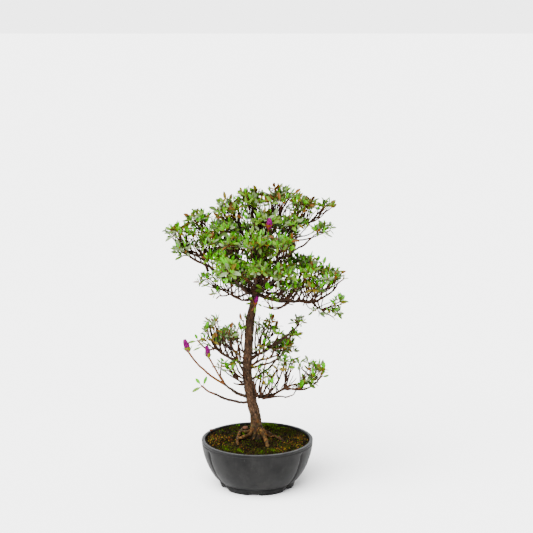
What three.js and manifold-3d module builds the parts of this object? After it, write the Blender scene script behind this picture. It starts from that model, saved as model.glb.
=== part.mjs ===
// An azalea grown as a small bonsai: one bowed trunk with surface roots, a wide crown of foliage pads over
// a clear stretch of trunk, lower branches, a few unopened blossoms, and the round plastic bowl that it
// grows in. Lengths are millimetres. +Z is up, +X is to the right of someone who faces the plant, and +Y
// is away from them.
import * as THREE from "three";
import { mergeVertices } from "three/addons/utils/BufferGeometryUtils.js";
import Module from "manifold-3d";

const wasm = await Module();
wasm.setup();

// Driving dimensions
const GAP = 0.3; // clear space between neighbouring pieces
const SMALLEST = 0.25; // edges shorter than this are closed up

const BOWL = {
  radius: 80,
  height: 68,
  floorRadius: 45, // where the curved side meets the flat underside
  floorZ: 4, // height of that underside above the ground
  fullness: 1.72, // power of the side's curve: 2 is a quarter ellipse
  wall: 3,
  floorThick: 3,
  floorEdge: 4, // how far the inside's floor ends short of the outside's
  lipWidth: 5,
  lipDepth: 4,
  lipUndercut: 0.6, // how far the side steps in under the lip, and the height of that step
  lipStep: 0.8,
  outerRows: [9, 16, 28, 45], // heights at which the outside and the inside of the wall are drawn
  innerRows: [44, 26, 14],
  columns: 48,
};
// Grooves between the bowl's lobes. Headings are degrees round from the front to the right.
const GROOVE = {
  depth: 2.4,
  at: [-60, 52.5, 120, 232.5],
  half: 8, // degrees either side within which the columns are drawn in to this share of their distance
  drawIn: 0.4,
  fades: 6, // height under the lip over which it runs out
};
const FOOT = {
  inner: 45.5,
  outer: 53,
  flare: 56,
  wall: 3,
  height: 9,
  archWide: 20,
  archHigh: 3.2,
  archLong: 30,
  archAt: [-5, 175],
};
const SOIL = {
  edgeZ: 64.5,
  mound: 4,
  bump: 0.9,
  waves: [5.3, 4.7, 9.1], // bump sizes across, away and aslant
  grooveClear: 2.5,
  rings: [1, 0.86, 0.7, 0.54, 0.38, 0.22], // shares of its radius at which its top is drawn
  // Cushions of moss and drifts of litter on it: x, y, height and half width
  cushions: [
    [16, 57, 4.2, 13],
    [40, 41, 3.2, 12],
    [60, 13, 2.4, 11],
    [51, -14, 2, 11],
    [42, -38, 2.8, 11],
    [20, -57, 2.8, 10],
    [-5, -59, 1.8, 9],
    [-30, -55, 2.6, 10],
    [-50, -39, 2.8, 11],
    [-58, -9, 2.6, 12],
    [-53, 26, 2.2, 12],
    [-30, 49, 2.8, 12],
    [-28, 16, 2, 8],
  ],
  cushionsFade: [0.84, 0.93], // shares of the bowl's radius between which they end at its wall
};

const TRUNK = {
  footZ: 62,
  forkZ: 289,
  bows: [-13.1, 1.5, 1.1, 1.1], // sideways waves of one, two, three and four halves between foot and fork
  depthBow: 3,
  footRadius: 8.2,
  forkRadius: 5,
  thinning: 0.8, // power of its taper: under 1 it thins sooner
  flare: 3.4,
  flareTop: 0.03, // share of its length up to which the flare is whole, and that over which it then fades
  flareFades: 0.035,
};
// Surface roots: heading, reach from the trunk's middle, thickness, and how high they leave the flare
const ROOT = { knee: 0.55, kneeUp: 0.35, swell: 1.25, thins: 0.6 };
const ROOTS = [
  { heading: -62, reach: 30, thick: 5.4, arch: 9 },
  { heading: -28, reach: 24, thick: 5.0, arch: 4 },
  { heading: 24, reach: 29, thick: 5.6, arch: 7 },
  { heading: 66, reach: 41, thick: 4.4, arch: 4 },
  { heading: 128, reach: 30, thick: 5.2, arch: 4 },
  { heading: -135, reach: 32, thick: 5.0, arch: 5 },
];

// Boughs: the limb that each leaves and where along it, the tip, how far the middle hangs below the
// straight line to the tip, and the thickness at foot and tip.
const BOUGHS = {
  leader: { from: "trunk", at: 1, tip: [7, 8, 349], sag: -2, thick: [8.6, 5.4] },
  bough_left: { from: "trunk", at: 0.97, tip: [-72, -8, 324], sag: 11, thick: [6.4, 3.6] },
  bough_right_low: { from: "trunk", at: 0.955, tip: [81, -8, 271], sag: 9, thick: [6.4, 3.4] },
  bough_front: { from: "trunk", at: 0.985, tip: [-4, -42, 319], sag: 6, thick: [5, 3.2] },
  bough_front_left: { from: "trunk", at: 0.95, tip: [-30, -41, 305], sag: 7, thick: [4.6, 3] },
  bough_front_right: { from: "trunk", at: 0.965, tip: [29, -38, 312], sag: 6, thick: [4.8, 3] },
  bough_low_left: { from: "trunk", at: 0.93, tip: [-36, -10, 279], sag: 8, thick: [3.8, 2.4] },
  bough_back_left: { from: "trunk", at: 0.975, tip: [-27, 45, 315], sag: 7, thick: [5.2, 3.2] },
  bough_back: { from: "leader", at: 0.22, tip: [8, 52, 324], sag: 7, thick: [5, 3.2] },
  bough_back_right: { from: "trunk", at: 0.96, tip: [42, 42, 304], sag: 7, thick: [5, 3.2] },
  bough_left_upper: { from: "leader", at: 0.3, tip: [-49, 22, 345], sag: 6, thick: [4.6, 3] },
  bough_top_left: { from: "leader", at: 0.62, tip: [-20, 3, 362], sag: 3, thick: [4, 3] },
  bough_top_right: { from: "leader", at: 0.72, tip: [45, 0, 363], sag: 4, thick: [4.4, 3] },
  bough_right_tip: { from: "leader", at: 0.45, tip: [76, -24, 363], sag: 9, thick: [4, 2] },
  bough_right_mid: { from: "bough_right_low", at: 0.36, tip: [44, -22, 277], sag: 2, thick: [3, 2] },
  bough_right_drop: { from: "bough_right_low", at: 0.93, tip: [93, -11, 257], sag: 3, thick: [2.6, 2] },
  bough_under: { from: "bough_right_low", at: 0.6, tip: [19, -24, 263], sag: 9, thick: [2.6, 1.8] },
  low_left_bough: { from: "trunk", at: 0.5, tip: [-60, -6, 203], sag: 3, thick: [5, 2.8] },
  whip_foot: { from: "trunk", at: 0.28, tip: [-47, -13, 152], sag: 5, thick: [2.8, 2] },
  whip_low_foot: { from: "trunk", at: 0.262, tip: [-60, -12, 137], sag: 8, thick: [2.4, 1.8] },
  low_right_upper: { from: "trunk", at: 0.535, tip: [46, -5, 222], sag: 2, thick: [4, 2.2] },
  low_right_inner: { from: "trunk", at: 0.56, tip: [9, 12, 203], sag: 2, thick: [3.2, 2.4] },
  low_right_mid: { from: "trunk", at: 0.48, tip: [33, -15, 191], sag: 5, thick: [3.4, 2.2] },
  low_right_bough: { from: "trunk", at: 0.3, tip: [38, -8, 143], sag: 9, thick: [4.6, 3] },
  low_right_outer: { from: "low_right_bough", at: 1, tip: [64, -12, 146], sag: 1, thick: [2.8, 2] },
  low_back_left: { from: "trunk", at: 0.45, tip: [-36, 34, 186], sag: 5, thick: [3.4, 2.4] },
  low_back_right: { from: "trunk", at: 0.4, tip: [27, 36, 172], sag: 5, thick: [3.4, 2.4] },
};

// Masses of foliage: the bough whose tip each grows from, or the trunk, where on it and facing which way,
// and its pads. A pad is an ellipsoid of foliage: its middle and its half sizes. A blossom pad holds one tip
// with an unopened flower.
const MASSES = {
  crown_top: {
    on: "leader",
    pads: [
      { at: [31, 5, 413], half: [22, 26, 20] },
      { at: [-8, 10, 409], half: [22, 26, 20] },
      { at: [10, -18, 386], half: [21, 20, 17] },
      { at: [18, -34, 381], half: [6, 6, 10], blossom: true },
    ],
  },
  top_left: {
    on: "bough_top_left",
    pads: [
      { at: [-37, 0, 396], half: [23, 26, 21] },
      { at: [-40, -18, 372], half: [17, 15, 13] },
    ],
  },
  top_right: {
    on: "bough_top_right",
    pads: [
      { at: [66, 0, 402], half: [20, 24, 20] },
      { at: [51, -8, 379], half: [22, 23, 15] },
      { at: [96, -4, 403], half: [15, 11, 11] },
    ],
  },
  right_tip: {
    on: "bough_right_tip",
    pads: [{ at: [91, -25, 373], half: [16, 15, 11] }],
  },
  left: {
    on: "bough_left",
    pads: [
      { at: [-109, -8, 371], half: [21, 18, 14] },
      { at: [-67, -8, 353], half: [22, 23, 18] },
      { at: [-105, -14, 345], half: [12, 12, 11] },
    ],
  },
  left_upper: {
    on: "bough_left_upper",
    pads: [
      { at: [-84, 16, 381], half: [21, 20, 15] },
      { at: [-50, 25, 367], half: [21, 24, 17] },
    ],
  },
  front_left: {
    on: "bough_front_left",
    pads: [
      { at: [-36, -52, 325], half: [22, 24, 19] },
      { at: [-30, -42, 356], half: [17, 20, 14] },
    ],
  },
  front: {
    on: "bough_front",
    pads: [
      { at: [-2, -56, 359], half: [21, 24, 18] },
      { at: [2, -58, 324], half: [19, 22, 15] },
      { at: [-2, -36, 303], half: [17, 14, 11] },
    ],
  },
  front_right: {
    on: "bough_front_right",
    pads: [
      { at: [32, -48, 354], half: [20, 24, 19] },
      { at: [37, -46, 316], half: [19, 23, 18] },
    ],
  },
  low_left: {
    on: "bough_low_left",
    pads: [
      { at: [-71, -14, 302], half: [14, 12, 12] },
      { at: [-49, -15, 302], half: [13, 14, 12] },
      { at: [-58, -12, 281], half: [8, 7, 6] },
      { at: [-26, -22, 298], half: [15, 13, 13] },
    ],
  },
  right_low: {
    on: "bough_right_low",
    pads: [
      { at: [73, -8, 313], half: [20, 26, 19] },
      { at: [104, -10, 304], half: [20, 21, 17] },
      { at: [80, -22, 290], half: [18, 16, 12] },
    ],
  },
  right_middle: { on: "bough_right_mid", pads: [{ at: [48, -24, 292], half: [18, 16, 13] }] },
  right_drop: {
    on: "bough_right_drop",
    pads: [
      { at: [112, -12, 265], half: [14, 12, 17] },
      { at: [80, -14, 255], half: [9, 8, 6] },
    ],
  },
  under: { on: "bough_under", pads: [{ at: [16, -31, 277], half: [12, 12, 11] }] },
  back_left: {
    on: "bough_back_left",
    pads: [
      { at: [-46, 62, 333], half: [25, 25, 20] },
      { at: [-22, 58, 358], half: [21, 23, 18] },
    ],
  },
  back: {
    on: "bough_back",
    pads: [
      { at: [16, 58, 364], half: [22, 24, 20] },
      { at: [4, 74, 330], half: [24, 22, 20] },
    ],
  },
  back_right: {
    on: "bough_back_right",
    pads: [
      { at: [62, 54, 326], half: [26, 25, 21] },
      { at: [54, 40, 357], half: [18, 20, 15] },
    ],
  },
  trunk_shoot: {
    on: "trunk",
    at: 0.93,
    facing: -90,
    pads: [{ at: [-1, -19, 273], half: [13, 9, 12], blossom: true }],
  },
  low_left_top: {
    on: "low_left_bough",
    pads: [
      { at: [-66, -6, 228], half: [13, 14, 19] },
      { at: [-39, -6, 220], half: [16, 16, 14] },
    ],
  },
  low_left_small: {
    on: "trunk",
    at: 0.37,
    facing: 195,
    pads: [{ at: [-43, -13, 176], half: [16, 13, 11] }],
  },
  whips: {
    on: "whip_foot",
    pads: [
      { at: [-95, -16, 201], half: [8, 8, 14], blossom: true },
      { at: [-67, -14, 189], half: [7, 8, 12], blossom: true },
    ],
  },
  whip_low: { on: "whip_low_foot", pads: [{ at: [-80, -15, 149], half: [14, 11, 11] }] },
  low_right_top: {
    on: "low_right_upper",
    pads: [
      { at: [58, -5, 239], half: [11, 10, 11] },
      { at: [54, -5, 219], half: [9, 9, 8] },
    ],
  },
  low_right_middle: {
    on: "low_right_inner",
    pads: [{ at: [17, 12, 224], half: [19, 16, 15] }],
  },
  low_right_front: {
    on: "low_right_mid",
    pads: [{ at: [38, -15, 204], half: [15, 13, 12] }],
  },
  low_right_foot: {
    on: "low_right_bough",
    pads: [
      { at: [42, -14, 179], half: [15, 15, 14] },
      { at: [11, -14, 158], half: [12, 12, 15] },
    ],
  },
  low_right_end: {
    on: "low_right_outer",
    pads: [
      { at: [82, -12, 171], half: [17, 15, 14] },
      { at: [72, -14, 151], half: [12, 12, 9] },
    ],
  },
  low_back_left_mass: {
    on: "low_back_left",
    pads: [{ at: [-46, 44, 202], half: [21, 20, 17] }],
  },
  low_back_right_mass: {
    on: "low_back_right",
    pads: [{ at: [38, 48, 189], half: [21, 20, 18] }],
  },
};

// Rule of growth inside a mass
const GOLDEN = Math.PI * (3 - Math.sqrt(5));
const TIPS = {
  area: 128, // square of a pad's mean half size for each of its twig tips
  dome: 1.7, // they lie on a pad from its top down to this much of its half height lower
  inset: 0.35, // how far inside its surface, as a share of a leaf's length
  core: 0.42, // and the least share of the half size that is left them
  shallow: 0.8, // the least share of that depth that a seeded roll leaves
  buried: 0.7, // a tip is left out where another pad is deeper than this over it
};
const LEAF = {
  long: 31,
  shortest: 0.45, // the least share of that length that a leaf may be cut to so that it stays in its space
  slender: 0.57, // width as a share of length
  thick: 0.9,
  keel: 0.6, // share of that thickness under the blade's edges
  widest: 0.56, // share of its length
  perTip: 6,
  spread: 32, // degrees off the tuft's axis for the topmost leaf, and how much more for each lower one
  droop: 9,
  swing: 14, // degrees over which a seeded roll moves that
  varies: 0.2, // share over which a seeded roll moves its length
  cut: 0.1, // share by which a leaf is cut at a time
  first: 0.7, // where the topmost leaf's foot is on the twig, below its tip, and the step to the next
  step: 1.5,
};
const TUFT = { out: 0.9, up: 0.5 }; // pull on a tuft's axis away from its pad's middle, and upwards
const TWIG = {
  radius: 0.75,
  reach: 0.42, // share of the way to the middle of its tips that a twig runs before it forks
  lag: 0.75, // share of that reach that it climbs
  swing: 0.14, // range over which a seeded roll moves that reach
  sunk: 0.2, // a side twig leaves this share of the stretch below the fork
  rooted: 0.45, // thickness of its root as a share of the twig it leaves
  point: 0.8, // thickness of its tip as a share of its own
};
const STEM = { clear: GAP + 0.05, neck: 2, shootRadius: 1.1 };
const BLOSSOM = { radius: 3.4, half: 9, sunk: 0.2 }; // the share of its half length that is on its twig
const EDGE = 1.45; // how far past a pad's surface, squared and in half sizes, a leaf may stand
const BORDER = 0.06; // how much nearer, by that measure, it has to be to its own pads than to any other

// A repeatable stream of numbers from 0 to 1
function dice(seed) {
  let state = seed >>> 0;
  return () => {
    state = (Math.imul(state, 1664525) + 1013904223) >>> 0;
    return state / 4294967296;
  };
}

const vector = (list) => new THREE.Vector3(...list);
const radians = THREE.MathUtils.degToRad;
const ACROSS = new THREE.Vector3(0.36, 0.48, 0.8); // no limb or twig runs along this

// A closed geometry as a solid that can be joined and cut
function solid(geometry) {
  const bare = geometry.clone();
  bare.deleteAttribute("normal");
  bare.deleteAttribute("uv");
  const merged = mergeVertices(bare, 1e-4);
  return new wasm.Manifold(
    new wasm.Mesh({
      numProp: 3,
      vertProperties: new Float32Array(merged.attributes.position.array),
      triVerts: new Uint32Array(merged.index.array),
    }),
  );
}

// The geometry of a solid
function geometryOf(shape) {
  const mesh = shape.getMesh();
  const points = new Float32Array(mesh.numVert * 3);
  for (let i = 0; i < mesh.numVert; i++)
    points.set(mesh.vertProperties.subarray(i * mesh.numProp, i * mesh.numProp + 3), i * 3);
  return new THREE.BufferGeometry()
    .setAttribute("position", new THREE.BufferAttribute(points, 3))
    .setIndex(new THREE.BufferAttribute(mesh.triVerts, 1));
}

// The largest body of a solid that a cut may have left in pieces
const largest = (shape) => shape.decompose().reduce((a, b) => (b.volume() > a.volume() ? b : a));

// Moves every vertex of a geometry by a function of its place
function reshape(geometry, move) {
  const spot = new THREE.Vector3();
  const places = geometry.attributes.position;
  for (let i = 0; i < places.count; i++) {
    spot.fromBufferAttribute(places, i);
    move(spot);
    places.setXYZ(i, spot.x, spot.y, spot.z);
  }
  return geometry;
}

// A profile of [radius, height] pairs turned about the Z axis
const turned = (profile, columns) =>
  new THREE.LatheGeometry(
    profile.map(([r, z]) => new THREE.Vector2(r, z)),
    columns,
  ).rotateX(Math.PI / 2);

// Degrees from one heading round to the nearest of several
function nearest(heading, several) {
  const turns = several.map((at) => THREE.MathUtils.euclideanModulo(heading - at + 180, 360) - 180);
  return turns.reduce((a, b) => (Math.abs(b) < Math.abs(a) ? b : a));
}

const lipUnder = BOWL.height - BOWL.lipDepth;
const floorTop = BOWL.floorZ + BOWL.floorThick;

// Presses the four grooves into a turned shape, up to just under the lip. Its columns beside a groove are
// drawn in to the groove's line. clear is pressed in on top of that all the way up.
function lobed(geometry, clear = 0) {
  return reshape(geometry, (spot) => {
    const radius = Math.hypot(spot.x, spot.y);
    if (radius < 1) return;
    const heading = THREE.MathUtils.radToDeg(Math.atan2(spot.x, -spot.y));
    const off = nearest(heading, GROOVE.at);
    const beside = Math.abs(off) < GROOVE.half;
    const drawn = radians(heading - (beside ? off * (1 - GROOVE.drawIn) : 0));
    const fade = 1 - THREE.MathUtils.smoothstep(spot.z, lipUnder - GROOVE.fades, lipUnder);
    const share = Math.min(radius / BOWL.floorRadius, 1);
    const onLine = Math.abs(off) < 0.5;
    const pressed = radius - (onLine ? (GROOVE.depth * fade + clear) * share : 0);
    spot.x = Math.sin(drawn) * pressed;
    spot.y = -Math.cos(drawn) * pressed;
  });
}

// Radius of the bowl's side at a height
function sideRadius(z) {
  const s = THREE.MathUtils.clamp((z - BOWL.floorZ) / (BOWL.height - BOWL.floorZ), 0, 1);
  const swell = (1 - (1 - s) ** BOWL.fullness) ** (1 / BOWL.fullness);
  return BOWL.floorRadius + (BOWL.radius - BOWL.floorRadius) * swell;
}

const innerRadius = (z) => sideRadius(z) - BOWL.wall;

// The bowl: a lobed shell with a plain round lip, on a foot ring with arches cut through it
function bowl() {
  const outside = BOWL.outerRows.map((z) => [sideRadius(z), z]);
  const inside = BOWL.innerRows.map((z) => [innerRadius(z), z]);
  const shell = turned(
    [
      [0, BOWL.floorZ],
      [BOWL.floorRadius, BOWL.floorZ],
      ...outside,
      [sideRadius(lipUnder) - BOWL.lipUndercut, lipUnder],
      [BOWL.radius, lipUnder + BOWL.lipStep],
      [BOWL.radius, BOWL.height],
      [BOWL.radius - BOWL.lipWidth, BOWL.height],
      [BOWL.radius - BOWL.lipWidth, lipUnder],
      ...inside,
      [BOWL.floorRadius - BOWL.floorEdge, floorTop],
      [0, floorTop],
    ],
    BOWL.columns,
  );
  const ring = turned(
    [
      [FOOT.inner, 0],
      [FOOT.outer, 0],
      [FOOT.flare, FOOT.height],
      [FOOT.flare - FOOT.wall, FOOT.height],
      [FOOT.inner, BOWL.floorZ + 1],
      [FOOT.inner, 0],
    ],
    BOWL.columns,
  );
  const arches = [...FOOT.archAt, ...GROOVE.at].map((heading) => {
    const arch = new THREE.CylinderGeometry(FOOT.archWide / 2, FOOT.archWide / 2, FOOT.archLong, 10);
    arch.scale(1, 1, (2 * FOOT.archHigh) / FOOT.archWide);
    arch.translate(0, -FOOT.outer, 0);
    arch.rotateZ(radians(heading));
    return solid(arch);
  });
  const foot = solid(lobed(ring)).subtract(wasm.Manifold.union(arches));
  return solid(lobed(shell)).add(foot);
}

// Height of the soil: a low mound with small bumps that fade out round the trunk's foot and at the wall, and
// the cushions on it
function soilHeight(x, y) {
  const r = Math.hypot(x, y) / BOWL.radius;
  const [across, away, aslant] = SOIL.waves;
  const bumps = Math.sin(x / across + 1) * Math.sin(y / away) + Math.sin((x - y) / aslant);
  const shown = THREE.MathUtils.smoothstep(r, 0.2, 0.5) * (1 - THREE.MathUtils.smoothstep(r, 0.75, 0.9));
  const raised = SOIL.cushions.reduce(
    (sum, [cx, cy, high, wide]) => sum + high * Math.exp(-((x - cx) ** 2 + (y - cy) ** 2) / wide ** 2),
    0,
  );
  const held = 1 - THREE.MathUtils.smoothstep(r, ...SOIL.cushionsFade);
  return SOIL.edgeZ + SOIL.mound * (1 - r * r) + SOIL.bump * bumps * shown + raised * held;
}

// The root ball, which fills the bowl up to just under its lip. grown lifts its top, to cut what stands
// on it.
function soil(grown = 0) {
  const clear = 1.3 * GAP;
  const body = turned(
    [
      [0, floorTop + GAP],
      [BOWL.floorRadius - BOWL.floorEdge - clear, floorTop + GAP],
      ...BOWL.innerRows.toReversed().map((z) => [innerRadius(z) - clear, z]),
      [BOWL.radius - BOWL.lipWidth - clear, lipUnder],
      ...SOIL.rings.map((share) => [(BOWL.radius - BOWL.lipWidth - clear) * share, SOIL.edgeZ]),
      [0, SOIL.edgeZ],
    ],
    BOWL.columns,
  );
  return solid(
    reshape(lobed(body, SOIL.grooveClear), (spot) => {
      if (spot.z > SOIL.edgeZ - 0.1) spot.z = soilHeight(spot.x, spot.y) + grown;
    }),
  );
}

// The trunk's middle line: it bows to the left, with slight kinks, and comes back over its foot at the fork
class TrunkLine extends THREE.Curve {
  getPoint(t, target = new THREE.Vector3()) {
    return target.set(
      TRUNK.bows.reduce((sum, bow, i) => sum + bow * Math.sin((i + 1) * Math.PI * t), 0),
      TRUNK.depthBow * Math.sin(2 * Math.PI * t),
      TRUNK.footZ + t * (TRUNK.forkZ - TRUNK.footZ),
    );
  }
}

const trunkRadius = (t) =>
  THREE.MathUtils.lerp(TRUNK.footRadius, TRUNK.forkRadius, t ** TRUNK.thinning) +
  TRUNK.flare * Math.exp(-Math.max(t - TRUNK.flareTop, 0) / TRUNK.flareFades);

// Every limb by name: its middle line and its radius along it
const limbs = { trunk: { line: new TrunkLine(), radius: trunkRadius, sides: 11, steps: 16 } };
for (const [name, bough] of Object.entries(BOUGHS)) {
  const start = limbs[bough.from].line.getPoint(bough.at);
  const tip = vector(bough.tip);
  const middle = start.clone().lerp(tip, 0.5);
  middle.z -= bough.sag;
  const [foot, end] = bough.thick;
  limbs[name] = {
    line: new THREE.QuadraticBezierCurve3(start, middle, tip),
    radius: (t) => THREE.MathUtils.lerp(foot, end, t) / 2,
    sides: foot > 6 ? 7 : 5,
    steps: 4,
  };
}

// A closed tapering tube through points, with a radius at each: a cylinder whose rows are carried to them
function tube(points, radii, sides) {
  const tangents = points.map((p, i) => (points[i + 1] ?? p).clone().sub(points[i - 1] ?? p).normalize());
  const normals = [];
  tangents.forEach((tangent, i) => {
    normals.push((normals[i - 1] ?? ACROSS).clone().projectOnPlane(tangent).normalize());
  });
  const rows = points.length - 1;
  return solid(
    reshape(new THREE.CylinderGeometry(1, 1, 1, sides, rows), (spot) => {
      const i = Math.round((spot.y + 0.5) * rows);
      const binormal = normals[i].clone().cross(tangents[i]);
      const out = normals[i].clone().multiplyScalar(spot.x).addScaledVector(binormal, spot.z);
      spot.copy(points[i]).addScaledVector(out, radii[i]);
    }),
  );
}

// A limb as a solid. grown adds to its radius and to both of its ends.
function limbSolid({ line, radius, sides, steps }, grown = 0) {
  const shares = Array.from({ length: steps + 1 }, (_, i) => i / steps);
  const points = shares.map((t) => line.getPoint(t));
  points[0].addScaledVector(line.getTangent(0), -grown);
  points[steps].addScaledVector(line.getTangent(1), grown);
  return tube(
    points,
    shares.map((t) => radius(t) + grown),
    sides,
  );
}

// A surface root: it leaves the flare, arches over the soil and dips under its surface
function root({ heading, reach, thick, arch }) {
  const out = new THREE.Vector3(Math.sin(radians(heading)), -Math.cos(radians(heading)), 0);
  const start = new THREE.Vector3(0, 0, SOIL.edgeZ + SOIL.mound + arch + 1);
  const end = out.clone().multiplyScalar(reach);
  end.z = soilHeight(end.x, end.y) - thick / 2;
  const knee = out.clone().multiplyScalar(reach * ROOT.knee);
  knee.z = start.z + arch * ROOT.kneeUp;
  const line = new THREE.QuadraticBezierCurve3(start, knee, end);
  const radius = (t) => (thick / 2) * (ROOT.swell - ROOT.thins * t);
  return limbSolid({ line, radius, sides: 5, steps: 4 });
}

const limbSolids = {};
const grownLimbs = {};
const trunkBody = wasm.Manifold.union([limbSolid(limbs.trunk), ...ROOTS.map(root)]);
limbSolids.trunk = largest(trunkBody.subtract(soil(GAP)).simplify(SMALLEST));
grownLimbs.trunk = wasm.Manifold.union([limbSolid(limbs.trunk, GAP), ...ROOTS.map(root)]);
for (const name of Object.keys(BOUGHS)) {
  const whole = limbSolid(limbs[name]);
  limbSolids[name] = largest(whole.subtract(wasm.Manifold.union(Object.values(grownLimbs))));
  grownLimbs[name] = limbSolid(limbs[name], GAP);
}
const allLimbs = wasm.Manifold.union(Object.values(grownLimbs));

// Points along every limb, to keep twigs and leaves clear of them
const BEADS = 40;
const limbBeads = Object.values(limbs).flatMap(({ line, radius }) =>
  Array.from({ length: BEADS + 1 }, (_, i) => ({ spot: line.getPoint(i / BEADS), radius: radius(i / BEADS) })),
);

// How deep a point lies in a mass: 0 in the middle of one of its pads, 1 on its surface
const depthIn = (mass, p) =>
  Math.min(
    ...mass.pads.map(({ at, half }) =>
      at.reduce((sum, c, i) => sum + ((p.getComponent(i) - c) / half[i]) ** 2, 0),
    ),
  );

// Whether a point is nearer to its own mass than to any other
function inOwnSpace(mass, p) {
  const own = depthIn(mass, p);
  return Object.values(MASSES).every((other) => {
    if (other === mass) return true;
    const theirs = depthIn(other, p);
    return theirs > EDGE + BORDER || own + BORDER < theirs;
  });
}

// Whether a point with some space round it is clear of the limbs
const clearOfLimbs = (p, space) => limbBeads.every(({ spot, radius }) => spot.distanceTo(p) > radius + space);

// Points along a straight line
const stations = (from, to, count) =>
  Array.from({ length: count }, (_, i) => from.clone().lerp(to, (i + 0.5) / count));

// The twig tips of a pad: a golden-angle spiral down its dome, each at a seeded depth under its surface.
// Those that another pad would bury are left out.
function tipsOf(pad, roll) {
  const phase = roll() * Math.PI * 2;
  const size = Math.cbrt(pad.half[0] * pad.half[1] * pad.half[2]);
  const count = pad.blossom ? 1 : Math.max(1, Math.round(size ** 2 / TIPS.area));
  const others = Object.values(MASSES).flatMap((mass) => mass.pads.filter((other) => other !== pad));
  const tips = Array.from({ length: count }, (_, k) => {
    const up = 1 - ((k + 0.5) / count) * TIPS.dome;
    const flat = Math.sqrt(1 - up * up);
    const turn = phase + k * GOLDEN;
    const share = TIPS.shallow + (1 - TIPS.shallow) * roll();
    const out = new THREE.Vector3(flat * Math.cos(turn), flat * Math.sin(turn), up);
    if (count === 1) out.set(0, 0, 0);
    const inner = pad.half.map((h) => Math.max(h - LEAF.long * TIPS.inset, h * TIPS.core) * share);
    const at = vector(pad.at.map((c, i) => c + out.getComponent(i) * inner[i]));
    const surface = vector(pad.at.map((c, i) => c + out.getComponent(i) * pad.half[i]));
    const buried = count > 1 && others.some((other) => depthIn({ pads: [other] }, surface) < TIPS.buried);
    return { at, out, blossom: Boolean(pad.blossom), buried };
  });
  return tips.filter((tip) => !tip.buried);
}

// Grows a twig on to its tips: it runs part of the way to their middle, lagging in height so that the twigs
// turn up, and the tips are then parted along their widest spread. It goes on to the fuller side, and a new
// twig starts there for the other.
function grow(twig, tips, thickness, roll, twigs) {
  if (tips.length === 1) {
    const [tip] = tips;
    const radii = [...twig.radii, thickness(1) * TWIG.point];
    twigs.push({ points: [...twig.points, tip.at], radii, tip });
    return;
  }
  const middle = tips.reduce((sum, tip) => sum.add(tip.at), new THREE.Vector3()).divideScalar(tips.length);
  const reach = TWIG.reach + TWIG.swing * (roll() - 0.5);
  const last = twig.points.at(-1);
  const fork = last.clone().lerp(middle, reach);
  fork.z = THREE.MathUtils.lerp(last.z, middle.z, reach * TWIG.lag);
  const spread = [0, 1, 2].map((axis) => {
    const values = tips.map((tip) => tip.at.getComponent(axis));
    return Math.max(...values) - Math.min(...values);
  });
  const axis = spread.indexOf(Math.max(...spread));
  const sorted = [...tips].sort((a, b) => a.at.getComponent(axis) - b.at.getComponent(axis));
  const half = Math.ceil(sorted.length / 2);
  const run = { points: [...twig.points, fork], radii: [...twig.radii, thickness(tips.length)] };
  grow(run, sorted.slice(0, half), thickness, roll, twigs);
  const side = { points: [fork.clone().lerp(last, TWIG.sunk)], radii: [run.radii.at(-1) * TWIG.rooted] };
  grow(side, sorted.slice(half), thickness, roll, twigs);
}

// Where a mass's stem starts, just clear of its limb, which way it sets off and how thick it is
function stemOf(mass) {
  const { line, radius } = limbs[mass.on];
  if (mass.facing === undefined) {
    const way = line.getTangent(1);
    return { start: line.getPoint(1).addScaledVector(way, STEM.clear), way, girth: radius(1) };
  }
  const way = new THREE.Vector3(Math.cos(radians(mass.facing)), Math.sin(radians(mass.facing)), 0);
  const start = line.getPoint(mass.at).addScaledVector(way, radius(mass.at) + STEM.clear);
  return { start, way, girth: STEM.shootRadius };
}

// A leaf: a ball of six faces drawn out to a blade with a keel under its midrib. It leaves its twig at a
// point, along a way, with its face to the tuft's axis.
function leaf(root, way, axis, long) {
  const side = axis.clone().cross(way).normalize();
  const face = way.clone().cross(side).normalize();
  const corners = [];
  const blade = reshape(new THREE.SphereGeometry(1, 3, 2), (spot) => {
    const waist = Math.abs(spot.y) < 0.5;
    const along = waist ? LEAF.widest : (1 - spot.y) / 2;
    const across = waist ? (spot.z / Math.sqrt(3)) * LEAF.slender : 0;
    const up = waist ? -spot.x * LEAF.thick * LEAF.keel : 0;
    spot.copy(root).addScaledVector(way, along * long).addScaledVector(side, across * long);
    spot.addScaledVector(face, up);
    corners.push(spot.clone());
  });
  return { blade: solid(blade), corners };
}

// The box round a solid, and whether two solids meet
const boxOf = (shape) => {
  const { min, max } = shape.boundingBox();
  return new THREE.Box3(vector(min), vector(max));
};
const crosses = (a, b) => boxOf(a).intersectsBox(boxOf(b)) && !a.intersect(b).isEmpty();

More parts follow.
